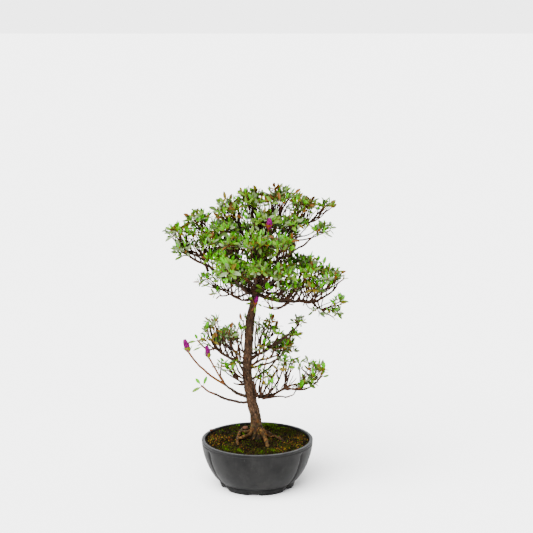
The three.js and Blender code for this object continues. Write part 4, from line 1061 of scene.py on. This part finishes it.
# A twig's radius with one tip left, and as many times that radius: its point, and the least and the most at
# its foot. Then the radius of a lone stem's foot and of a free stem's, how a twig forks, how far ahead of its
# start its tips are and how much it turns up, its neck's length, the half sizes of the tuft that a free stem
# carries, and the rings and sides of its mesh.
TWIG = {
    "radius": 0.68,
    "point": 0.8,
    "least": 1.15,
    "most": 1.3,
    "lone": 1.3,
    "free": 1.7,
    "lag": 0.6,
    "swing": 0.16,
    "sunk": 0.15,
    "rooted": 0.85,
    "ahead": 12,
    "rise": 12,
    "neck": 4,
    "tuft": (9, 9, 9),
    "rows": 11,
    "shoot_row": 8,
    "sides": 5,
}
STARTS = np.linspace(0.12, 1, 13)
LOW_TIER_Z = 250


def depth_in(pads, points):
    """The square of how far out points lie in the nearest pad: 0 in its middle, 1 on its surface."""
    pads = np.asarray(pads, float)
    away = (points[..., None, :] - pads[:, :3]) / pads[:, 3:]
    return (away**2).sum(-1).min(-1)


def tips_of(pad, others, area, draws):
    """A pad's twig tips and the ways out there: a golden-angle spiral down its dome, drawn in from its
    surface by seeded shares. Tips that another pad would bury are left out."""
    pad = np.array(pad, float)
    count = max(1, round(np.cbrt(np.prod(pad[3:])) ** 2 / area))
    up = 1 - (np.arange(count) + 0.5) / count * TIPS["dome"]
    turn = draws.uniform(0, 2 * math.pi) + np.arange(count) * GOLDEN
    flat = np.sqrt(1 - up**2)
    out = np.stack([flat * np.cos(turn), flat * np.sin(turn), up], -1)
    shares = draws.uniform(TIPS["shallow"], 1, (count, 1))
    inner = np.maximum(pad[3:] - TIPS["inset"], pad[3:] * TIPS["core"]) * shares
    shown = depth_in(others, pad[:3] + out * pad[3:]) > TIPS["buried"]
    return list(zip((pad[:3] + out * inner)[shown], out[shown]))


def grow(line, tips, thickness, draws, twigs):
    """Grows a line of (x, y, z, radius) rows on to its tips. It goes on towards their middle by a share that
    is smaller the more forks are to come, and lags in height so that twigs turn up. There the tips are parted
    in halves along their widest spread. The line goes on to one half, and a thinner one starts for the
    other. A line with one tip left ends at it."""
    if len(tips) == 1:
        at, out = tips[0]
        twigs.append((np.array([*line, (*at, thickness(1) * TWIG["point"])]), out))
        return
    places = np.array([at for at, _ in tips])
    reach = 1 / (math.log2(len(tips)) + 1) + TWIG["swing"] * draws.uniform(-0.5, 0.5)
    last, middle = np.array(line[-1][:3]), places.mean(0)
    fork = last + (middle - last) * reach * np.array([1, 1, TWIG["lag"]])
    order = places[:, np.ptp(places, axis=0).argmax()].argsort()
    half = (len(tips) + 1) // 2
    grow([*line, (*fork, thickness(len(tips)))], [tips[i] for i in order[:half]], thickness, draws, twigs)
    foot = fork + (last - fork) * TWIG["sunk"]
    side = [(*foot, thickness(len(tips)) * TWIG["rooted"])]
    grow(side, [tips[i] for i in order[half:]], thickness, draws, twigs)


def limb_radius(name, t):
    """Radius of a limb at a share of its length."""
    if name == "trunk":
        return trunk_radius(t)
    foot, end = limb_ends[name]
    return (foot + (end - foot) * t) / 2


def twigs_of(limb, pads, start, bare, sparse, seed):
    """One mass's twigs. Its tips are shared out among starts along its limb, or round its one start, each to
    one near it, and a twig grows from each that has any. Tips in a bare thicket get no way out, and so no
    leaves."""
    draws = np.random.default_rng(seed)
    every = [other for _, many, *_ in MASSES.values() for other in many]
    tips = []
    for pad in pads:
        area = TIPS["low_area"] if pad[2] < LOW_TIER_Z else TIPS["area"]
        tips += tips_of(pad, [other for other in every if other != pad], area * sparse, draws)
    for pad in bare:
        area = TIPS["bare_area"] * max(sparse, 1 + (pad[2] < LOW_TIER_Z))
        tips += [(at, None) for at, _ in tips_of(pad, [(0, 0, 0, 1, 1, 1)], area, draws)]
    shares = start[0] + np.linspace(-0.025, 0.025, 5) if start else STARTS
    feet = limb_lines[limb](shares)
    ahead = feet + TWIG["ahead"] * unit(limb_lines[limb](shares + 0.01) - feet)
    away = np.linalg.norm(np.array([at for at, _ in tips])[:, None] - ahead, axis=-1)
    chosen = (away * draws.uniform(0.85, 1.2, away.shape)).argmin(1)
    twigs = []
    for k in np.unique(chosen):
        own = [tip for tip, pick in zip(tips, chosen) if pick == k]
        girth = limb_radius(limb, shares[k]) * (0.95 if shares[k] == 1 and not start else 0.55)
        most = TWIG["radius"] * len(own) ** 0.5 * TWIG["most"]
        girth = min(max(girth, TWIG["radius"] * TWIG["least"]), most, TWIG["lone"] if start else math.inf)
        gain = math.log(girth / TWIG["radius"]) / math.log(len(own)) if len(own) > 1 else 0
        way = unit(np.mean([at for at, _ in own], axis=0) - feet[k] + np.array([0, 0, TWIG["rise"]]))
        neck = feet[k] + way * TWIG["neck"]
        grow([(*feet[k], girth), (*neck, girth)], own, lambda n, g=gain: TWIG["radius"] * n**g, draws, twigs)
    return twigs


twigs, sprays = [], []
grown_on = [
    (limb, pads, start, THICKETS.get(name, ()), SPARSE.get(name, 1))
    for name, (limb, pads, *start) in MASSES.items()
]
grown_on += [("trunk", pads, [at], bare, 1) for at, pads, bare in FANS]
for seed, (limb, pads, start, bare, sparse) in enumerate(grown_on):
    for line, out in twigs_of(limb, pads, start, bare, sparse, 400 + seed):
        twigs.append(smooth_path(line, TWIG["rows"]))
        if out is not None:
            sprays.append((pads, line[-1, :3], unit(line[-1, :3] - line[-2, :3]), out, LEAFY))
free_stems = [
    (carries, TWIG["free"], foot_y, end_y, np.array(CLOSE_UP["corner"]) + np.array(line) / CLOSE_UP["times"])
    for carries, foot_y, end_y, line in STEMS
]
for carries, thick, foot_y, end_y, line in free_stems + OUTER:
    line = smooth_path(seen_at(line, np.linspace(foot_y, end_y, len(line))), TWIG["rows"])
    end = min(max(TWIG["radius"] * TWIG["least"], thick * 0.5), thick * 0.8)
    twigs.append(np.concatenate([line, np.linspace(thick, end, TWIG["rows"])[:, None]], 1))
    way = unit(line[-1] - line[-2])
    if carries != BARE:
        sprays.append(([(*line[-1], *TWIG["tuft"])], line[-1], way, unit(way + np.array([0, 0, 1])), carries))
twigs = np.stack(twigs)
twigs[..., :3] += crook(twigs)
old_wood, young_wood = (
    rings_along(part[..., :3], part[..., None, 3], TWIG["sides"])
    for part in (twigs[:, : TWIG["shoot_row"] + 1], twigs[:, TWIG["shoot_row"] :])
)
twig_bark = bark_finish(
    "twig_bark",
    dark=(0.008, 0.0035, 0.0018),
    mid=(0.024, 0.0105, 0.005),
    light=(0.056, 0.027, 0.012),
    warm=(0.044, 0.015, 0.006),
)
old_twigs = put("old_twigs", *tubes(old_wood))
finish(old_twigs, twig_bark, "bark", *("foliage_" + name for name in MASSES))
shoot_bark = bark_finish(
    "shoot_bark",
    dark=(0.03, 0.009, 0.003),
    mid=(0.075, 0.024, 0.007),
    light=(0.15, 0.055, 0.014),
    warm=(0.09, 0.04, 0.008),
)
shoots = put("shoots", *tubes(young_wood))
finish(shoots, shoot_bark, "bark")

# Leaves
# Small evergreen leaves in a rosette round each shoot's end, and over them the narrow bright leaves of new
# growth round a tiny orange heart. Each is folded at its midrib and curls down to its tip.
# The blade: how far along its rows are, their share of its width, and how far its edges fold up. Then the
# squared depth in a pad, and the depth along Y, that a leaf stays inside.
LEAF = {
    "rows": (0.14, 0.38, 0.64, 0.86),
    "widths": (0.16, 0.84, 1.0, 0.64),
    "fold": 0.3,
    "stay": 2.1,
    "front": -85,
}
# Sizes of a leaf: in the crown, what it gains at the crown's rim, and the range in the lower tier. Ranges for
# grown and for new leaves: how many, lengths as shares of that size, widths as shares of the length, bends.
# Tilts off the shoot; how many new leaves a bright tuft has and how much wider they are; a heart's length
# and width; and the shares of the five grown tints inside the crown, at its rim and for a stray leaf.
ROSETTE = {
    "size": 11.8,
    "rim_gain": 1.2,
    "low_size": (9, 14),
    "grown": {"many": (3, 6), "long": (0.75, 1.15), "wide": (0.29, 0.4), "bend": (0.05, 0.3)},
    "new": {"many": (2, 5), "long": (0.6, 1.0), "wide": (0.17, 0.24), "bend": (-0.05, 0.15)},
    "tilt_deg": {"first": 38, "next": 9, "spread": 12, "new": (5, 24)},
    "bright_many": (4, 7),
    "bright_wide": 1.6,
    "heart": (3.6, 0.45),
    "inside": (0.2, 0.26, 0.36, 0.1, 0.08),
    "rim": (0.12, 0.22, 0.3, 0.2, 0.16),
    "stray": (0.3, 0.3, 0.25, 0.1, 0.05),
}
TINTS = {
    # Partly dark leaves and partly painted shade: a darker copy of the mid tint.
    "leaves_deep": (0.028, 0.056, 0.004),
    "leaves_mid": (0.062, 0.124, 0.006),
    # Partly grey-green leaves and partly a painted sheen: a paler, bluer tint, fewer on shoots that point
    # down.
    "leaves_grey": (0.105, 0.145, 0.062),
    "leaves_olive": (0.075, 0.055, 0.002),
    "leaves_bronze": (0.08, 0.03, 0.002),
    "leaves_fresh": (0.065, 0.27, 0.0),
    "leaves_new": (0.035, 0.17, 0.0),
    "leaf_hearts": (0.15, 0.04, 0.002),
}


def blades(feet, ways, faces, long, wide, bend):
    """Leaf blades: a foot, rows of three points out to the row's share of the half width, and a tip. The
    edges are folded up and the midrib falls away with the square of the way along."""
    sides = np.cross(faces, ways)
    along = np.repeat(LEAF["rows"], 3)
    across = np.tile([-1, 0, 1], 4) * np.repeat(LEAF["widths"], 3)
    along, across = np.concatenate([[0], along, [1]]), np.concatenate([[0], across, [0]])
    half = (long * wide / 2)[:, None]
    up = np.abs(across) * half * LEAF["fold"] - along**2 * (long * bend)[:, None]
    parts = [(along * long[:, None], ways), (across * half, sides), (up, faces)]
    points = feet[:, None] + sum(size[..., None] * way[:, None] for size, way in parts)
    row = 3 * np.arange(3)[:, None] + np.array([0, 1])[None]
    corners = row[..., None] + np.array([4, 5, 2, 1])
    ends = np.array([(0, 1, 2), (0, 2, 3), (10, 13, 11), (11, 13, 12)])
    step = 14 * np.arange(len(feet))[:, None, None]
    return points, (corners.reshape(-1, 4) + step).reshape(-1, 4), (ends + step).reshape(-1, 3)


def around(axis, turn, tilt):
    """A direction that leans off an axis by a tilt, at a turn round it, for many axes."""
    side = unit(np.cross(axis, [0.36, 0.48, 0.8]))
    out = np.cos(turn)[:, None] * side + np.sin(turn)[:, None] * np.cross(axis, side)
    return unit(np.cos(tilt)[:, None] * axis + np.sin(tilt)[:, None] * out)


def leaves_of(spray, draws):
    """The leaves at one shoot's end as rows of foot, way, face, length, width, bend and tint. Grown leaves
    open round the axis, lower ones wider and further back, and new ones stand up in the middle. The crown's
    rim has more olive and bronze leaves and fewer new ones. Shoots that point down get more deep leaves and
    fewer mid and grey ones, as painted shade. A leaf that would leave its pad is cut shorter, or left out."""
    pads, at, way, out, carries = spray
    low = at[2] < LOW_TIER_Z
    axis = unit(way + 0.7 * out + np.array([0, 0, 0.7]))
    rising = unit(0.35 * way + 0.3 * out + np.array([0, 0, 1.0]))
    rim = smooth_step(at[2], 375, 405) + smooth_step(-at[0], 70, 100)
    old = draws.integers(*ROSETTE["grown"]["many"])
    old = old if draws.random() > 0.85 * smooth_step(-out[2], 0.0, 0.4) else 0
    fresh = 1 if carries == BRIGHT else (0.4 if low else 0.85 - 0.5 * min(rim, 1))
    many = ROSETTE["bright_many"] if carries == BRIGHT else ROSETTE["new"]["many"]
    new = draws.integers(*many) * (draws.random() < fresh)
    hearts = 2 * (new > 0)
    # Painted shade: shoots that point down get more deep leaves and fewer mid and grey ones.
    under = 0.25 * smooth_step(-out[2], -0.7, 0.2)
    shares = np.array(ROSETTE["inside"] if rim < 0.5 else ROSETTE["rim"])
    kind = draws.choice(5, p=shares + under * np.array([1, -0.3, -0.7, 0, 0]))
    young = 5 + (draws.random() < 0.45)
    count = old + new + hearts
    k = np.arange(count)
    grown, heart = k < old, k >= old + new
    turn = draws.uniform(0, 6.28) + k * GOLDEN + draws.normal(size=count) * 0.2
    tilts = ROSETTE["tilt_deg"]
    tilt = tilts["first"] + tilts["next"] * k + draws.normal(size=count) * tilts["spread"]
    tilt = np.radians(np.where(grown, tilt, draws.uniform(*tilts["new"], count)))
    size = ROSETTE["size"] + ROSETTE["rim_gain"] * min(rim, 1)
    size = draws.uniform(*ROSETTE["low_size"]) if low and carries == LEAFY else size
    kinds = (ROSETTE["grown"], ROSETTE["new"])
    long = np.where(grown, *(size * draws.uniform(*age["long"], count) for age in kinds))
    broader = (1, ROSETTE["bright_wide"] if carries == BRIGHT else 1)
    wide = np.where(grown, *(draws.uniform(*age["wide"], count) * by for age, by in zip(kinds, broader)))
    long, wide = (np.where(heart, small, full) for small, full in zip(ROSETTE["heart"], (long, wide)))
    ways = around(np.where(grown[:, None], axis, rising), turn, tilt)
    rolled = axis + 0.35 * draws.normal(size=(count, 3)) * grown[:, None]
    faces = unit(rolled - ways * (rolled * ways).sum(-1, keepdims=True))
    feet = at - way * (np.where(grown, 0.6 + 0.9 * k, 0.2))[:, None]
    bend = np.where(grown, *(draws.uniform(*age["bend"], count) for age in kinds))
    other = draws.choice(5, count, p=ROSETTE["stray"])
    tint = np.where(grown, np.where(draws.random(count) < 0.7, kind, other), np.where(heart, 7, young))
    share = np.zeros(count)
    for cut in (0.55, 0.7, 0.85, 1):
        ends = feet + ways * (long * cut)[:, None]
        fits = (depth_in(pads, ends) < LEAF["stay"]) & (ends[:, 1] > LEAF["front"])
        share = np.where(fits, cut, share)
    kept = share > 0
    return [part[kept] for part in (feet, ways, faces, long * share, wide, bend, tint)]


# Leaves that stand out from the rest: a large rosette at the crown's front, those on the trunk's shoot and
# under the fork, the last few on the lower shoots, and old ones at the crown's edge. Each has its tint, where
# the picture shows its foot and its tip, their depths, and how many pixels wide it is.
LONE = [
    ("leaves_mid", (252.6, 300), (249, 297), -22, -24, 3.6),
    ("leaves_mid", (252, 303.4), (245.6, 303.8), -20, -22, 2.6),
    ("leaves_mid", (255.2, 305.6), (255.2, 313.6), -22, -24, 2.8),
    ("leaves_mid", (257.2, 303.6), (262, 306.2), -20, -20, 2.4),
    ("leaves_deep", (264.5, 292), (255.5, 290.6), -24, -32, 5),
    ("leaves_mid", (263, 289), (256, 285), -26, -34, 4),
    ("leaves_new", (267.2, 291.2), (267.6, 282), -25, -27, 5),
    ("leaves_new", (268, 290.4), (273.8, 286.4), -25, -28, 3.2),
    ("leaves_deep", (268.8, 294), (279.2, 302), -24, -30, 4.8),
    ("leaves_mid", (266.4, 296.4), (268.4, 300), -24, -26, 1.7),
    ("leaves_mid", (269.2, 304.8), (271.6, 309.8), -24, -26, 2.4),
    ("leaves_grey", (230, 271.7), (225.5, 262.8), -68, -74, 4.6),
    ("leaves_olive", (230, 271.7), (236, 263.5), -68, -74, 4),
    ("leaves_grey", (230, 271.7), (241, 274.8), -68, -78, 5.2),
    ("leaves_mid", (230, 271.7), (236, 279), -68, -78, 4.4),
    ("leaves_grey", (230, 271.7), (219.5, 276.5), -68, -76, 4.4),
    ("leaves_fresh", (229, 270), (220.5, 256.5), -68, -70, 2.8),
    ("leaves_fresh", (229, 270), (224.8, 257.5), -68, -70, 2.8),
    ("leaves_fresh", (228, 277), (225, 284), -70, -76, 3),
    ("leaves_fresh", (200.8, 384.8), (195.5, 378.2), -12, -12, 3.6),
    ("leaves_new", (203.3, 385.6), (206.8, 376.2), -12, -12, 3.2),
    ("leaves_mid", (202, 386.6), (191.6, 391.8), -12, -13, 3.6),
    ("leaves_new", (197.9, 340), (195, 334), -12, -12, 3),
    ("leaves_mid", (197.2, 341), (187.5, 342.5), -12, -13, 3),
    ("leaves_mid", (202.3, 346.6), (192.9, 350.4), -12, -13, 2.2),
    ("leaves_mid", (206, 279), (198, 284.5), -16, -18, 2.6),
    ("leaves_mid", (212, 283.5), (200.5, 286.5), -16, -18, 2.4),
    ("leaves_deep", (206, 274), (201, 277), -16, -18, 2.2),
    ("leaves_grey", (174, 232), (163.8, 233.5), -8, -8, 2),
    ("leaves_grey", (325, 234), (333, 237), -24, -24, 2),
    ("leaves_bronze", (191, 218), (183.5, 213.5), 18, 17, 4.2),
    ("leaves_olive", (203, 219), (209, 215), 15, 14, 3),
    ("leaves_olive", (257, 192), (253.5, 185), 17, 17, 3.6),
    ("leaves_bronze", (277, 190), (278.5, 183), 0, 0, 2),
    ("leaves_bronze", (294, 194), (300.5, 188.5), -4, -4, 3.4),
    ("leaves_olive", (327, 205), (335, 207), -8, -8, 3),
]


def lone_leaves():
    """The single leaves as rows like those of leaves_of, each with its face turned to the front and up. A
    pixel's size is that at the bowl's middle."""
    tints, feet, tips, foot_y, tip_y, wide = zip(*LONE)
    feet, tips = seen_at(feet, foot_y), seen_at(tips, tip_y)
    pixel = CAMERA["back"] * PICTURE["film"] / CAMERA["lens"] / PICTURE["across"]
    long = np.linalg.norm(tips - feet, axis=1)
    ways = (tips - feet) / long[:, None]
    towards = np.array([0.1, -0.75, 0.65])
    faces = unit(towards - ways * (ways @ towards)[:, None])
    tints = np.array([list(TINTS).index(tint) for tint in tints])
    return [feet, ways, faces, long, np.array(wide) * pixel / long, np.full(len(long), 0.08), tints]


def leaf_finish(name, colour):
    """A leaf's plain tint, with a thin waxy gloss once the leaf has grown."""
    young = name in ("leaves_fresh", "leaves_new", "leaf_hearts")
    return plain_finish(name, colour, 0.55, 0.03 if young else 0.12)


leaf_draws = np.random.default_rng(7)
moved = [(pads, at + crook(at), *rest) for pads, at, *rest in sprays]
leaf_rows = [lone_leaves(), *(leaves_of(spray, leaf_draws) for spray in moved)]
leaf_rows = [np.concatenate(part) for part in zip(*leaf_rows)]
for number, (name, colour) in enumerate(TINTS.items()):
    chosen = leaf_rows[6] == number
    piece = put(name, *blades(*(part[chosen] for part in leaf_rows[:6])))
    piece.data.shade_flat()
    finish(piece, leaf_finish(name, colour), "foliage")

# Blossom buds
# Four magenta buds about to open: petals still furled about each other, held in a cup of pointed bud scales.
# Two end long bare whips at the lower left, one is in the crown and one on a short shoot up the trunk.
# A bud: its foot, its tip, its half width, and whether its scales are brown.
BUDS = [
    ((16, -42, 377.5), (17.5, -42, 393), 4.2, True),
    ((-2.5, -20, 269.5), (0.5, -21, 281), 3.0, True),
    ((-96.5, -16, 199.5), (-102, -16, 217.5), 4.3, False),
    ((-68.5, -14, 191), (-71, -14, 208), 3.8, False),
]
# Long shoots as (x, y, z, radius): the two that carry buds, the low one with three leaves, one over the
# second bud, the thin ends of the shoot under the fork, and the stalks of the crown's and the trunk's buds.
WHIPS = [
    [(-47, -13, 152, 1.8), (-59, -14, 160, 1.7), (-74, -15, 172, 1.6), (-85, -16, 183, 1.5)]
    + [(-96.5, -16, 199, 1.6)],
    [(-47, -13, 152, 1.6), (-52, -14, 162, 1.5), (-58.5, -14, 173, 1.4), (-65.5, -14, 186, 1.4)]
    + [(-68.5, -14, 191, 1.5)],
    [(-60, -12, 137, 1.6), (-66.5, -12, 140, 1.5), (-74, -12, 145, 1.4), (-79.5, -12, 149.5, 1.4)],
    [(-58, -6, 203, 1.4), (-68, -11, 201.5, 1.3), (-74, -12, 205, 1.2), (-84, -12, 215.5, 1.2)],
    [(19, -24, 263, 1.2), (14, -20, 263.5, 1), (8.5, -16, 265.5, 0.7)],
    [(17, -23, 263, 1.1), (16.5, -23, 269, 1), (13.5, -24, 280, 0.8)],
    [(6, -30, 352, 1.3), (12, -36, 364, 1.1), (15, -40, 372, 1.1), (16, -42, 378, 1.4)],
    [(-7.5, -5, 256, 1.4), (-5.5, -13, 261, 1.2), (-3.5, -18, 265, 1.2), (-2.5, -20, 270, 1.3)],
]
WHIP = {"rows": 24, "sides": 6, "crook": 0.6}
# A corolla's mesh, how many petals it has, the share of a turn that they wind, the share of the radius under
# their folds, and how far the folds stand out.
FURL = {"rows": 18, "sides": 30, "petals": 5, "winds": 0.35, "inner": 0.86, "fold": 0.2}


def petals(foot, tip, half):
    """A furled corolla: an egg with a blunt tip, whose radius is a root of a sine, times five saw teeth round
    it, one for each petal's edge, that wind on by a share of a turn from foot to tip."""
    t = np.linspace(0, 1, FURL["rows"])
    path = np.array(foot) + t[:, None] * (np.array(tip, float) - np.array(foot))
    shape = np.sin(math.pi * (0.08 + 0.8 * t) ** 0.9) ** 0.7
    turn = np.arange(FURL["sides"]) * 2 * math.pi / FURL["sides"]
    wind = (FURL["petals"] * (turn[None] / (2 * math.pi) + FURL["winds"] * t[:, None])) % 1
    radii = half * shape[:, None] * (FURL["inner"] + FURL["fold"] * wind**1.5)
    return rings_along(path[None], radii[None], FURL["sides"])


def scales_of(foot, tip, half, draws):
    """Ten pointed scales on a golden-angle spiral that hug a bud's foot, as rows for blades."""
    axis = unit(np.array(tip, float) - foot)
    count = 10
    k = np.arange(count)
    ways = around(np.repeat(axis[None], count, 0), k * GOLDEN, np.radians(draws.uniform(14, 40, count)))
    out = unit(ways - axis * (ways @ axis)[:, None])
    faces = unit(-out - ways * (-out * ways).sum(-1, keepdims=True))
    feet = np.array(foot) + out * half * 0.3 - axis * 1.5
    long = draws.uniform(1.9, 2.7, count) * half
    return feet, ways, faces, long, draws.uniform(0.4, 0.5, count), draws.uniform(-0.05, 0.1, count)


def petal_skin():
    """Magenta petals, streaked with a deeper tone."""
    material, shader, place = start_material("petal_skin", Roughness=0.55, Specular_IOR_Level=0.04)
    streaks = place.noise(2.2, 4, 0.6)
    streaks.step(0.35, 0.65).between((0.035, 0.0, 0.022), (0.12, 0.0, 0.075)).feed(shader, "Base Color")
    streaks.bump(0.2, 0.5).feed(shader, "Normal")
    return material


bud_draws = np.random.default_rng(17)
corollas = np.concatenate([petals(*bud[:3]) for bud in BUDS])
buds = put("bud_petals", *tubes(corollas))
finish(buds, petal_skin(), "foliage")
for name, brown, colour in (
    ("bud_scales_brown", True, (0.12, 0.035, 0.002)),
    ("bud_scales_green", False, (0.1, 0.12, 0.001)),
):
    held = [scales_of(*bud[:3], bud_draws) for bud in BUDS if bud[3] == brown]
    piece = put(name, *blades(*(np.concatenate(part) for part in zip(*held))))
    finish(piece, plain_finish(name, colour, 0.55, 0.04), "foliage")
whips = np.stack([smooth_path(line, WHIP["rows"]) for line in WHIPS])
whips[..., :3] += WHIP["crook"] * crook(whips) * np.sin(math.pi * np.linspace(0, 1, WHIP["rows"]))[:, None]
piece = put("bud_whips", *tubes(rings_along(whips[..., :3], whips[..., None, 3], WHIP["sides"])))
finish(piece, shoot_bark, "bark", "foliage_whips", "foliage_whip_low", "foliage_trunk_shoot")

# Leaf stalks
# Each leaf that stands alone has a thin stalk back to the wood that is nearest to its foot, so that none
# hangs in the air. They are this year's growth, as red-brown as the shoots.
# A stalk's radius at the wood and in the leaf, how much it hangs, and the share of the leaf it runs into.
STALK = {"radii": (0.5, 0.35), "sag": 0.3, "into": 0.3, "rows": 4, "sides": 5}
wood = np.concatenate([twigs[..., :3].reshape(-1, 3), whips[..., :3].reshape(-1, 3)])
feet, ways, _, long, *_ = lone_leaves()
nearest = wood[np.linalg.norm(feet[:, None] - wood, axis=-1).argmin(1)]
ends = feet + ways * (long * STALK["into"])[:, None]
stalks = np.stack([nearest, (nearest + feet) / 2 - [0, 0, STALK["sag"]], feet, ends], 1)
thick = np.linspace(*STALK["radii"], STALK["rows"])[None, :, None]
piece = put("leaf_stalks", *tubes(rings_along(stalks, thick, STALK["sides"])))
finish(piece, shoot_bark, "bark")

# Floor and light
# The pot stands on a seamless sheet of white paper in a bright studio. The room is white, brightest behind
# the plant and dim behind the camera, and a broad soft lamp shines down from above at the left of the camera.
# The floor's half side in metres and its white, the room's glow in front and behind, its share overhead, and
# how far back and how high these begin and are full.
ROOM = {
    "reach": 200,
    "paper": 0.95,
    "front": 0.5,
    "behind": 4.0,
    "ceiling": 0.35,
    "back_from": (-1, 0.1),
    "high_from": (0.1, 0.7),
}
LAMP = {"strength": 15.0, "spread_deg": 60, "tilt_deg": (28, -18, 0)}


def floor_paper():
    """Matt white paper with the faintest mottling."""
    material, shader, place = start_material("floor_paper", Roughness=0.9, Specular_IOR_Level=0.1)
    white, shade = (ROOM["paper"],) * 3, (ROOM["paper"] * 0.985,) * 3
    place.noise(300, 2).between(shade, white).feed(shader, "Base Color")
    return material


ground = np.array([(-1, -1, 0), (1, -1, 0), (1, 1, 0), (-1, 1, 0)]) * ROOM["reach"] / MM
floor = put("floor", ground, np.array([(0, 1, 2, 3)]))
floor.data.materials.append(floor_paper())
floor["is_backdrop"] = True
world = bpy.data.worlds.new("studio")
bpy.context.scene.world = world
world.use_nodes = True
way = Wire(world.node_tree, None).node("ShaderNodeTexCoord", output="Generated")
away = way.node("ShaderNodeSeparateXYZ", {}, {"Vector": way}, output="Y")
glow = away.step(*ROOM["back_from"]) * (ROOM["behind"] - ROOM["front"]) + ROOM["front"]
height = way.node("ShaderNodeSeparateXYZ", {}, {"Vector": way}, output="Z")
glow = glow * (1 - height.step(*ROOM["high_from"]) * (1 - ROOM["ceiling"]))
world.node_tree.links.new(glow.socket, world.node_tree.nodes["Background"].inputs["Strength"])
world.node_tree.nodes["Background"].inputs["Color"].default_value = (1, 1, 1, 1)
light = bpy.data.lights.new("lamp", "SUN")
light.energy, light.angle = LAMP["strength"], math.radians(LAMP["spread_deg"])
lamp = bpy.data.objects.new("lamp", light)
bpy.context.scene.collection.objects.link(lamp)
lamp.rotation_euler = [math.radians(turn) for turn in LAMP["tilt_deg"]]

size = {"cad": [list(cad_low), list(cad_high)], "visual": [list(corner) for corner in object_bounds()]}
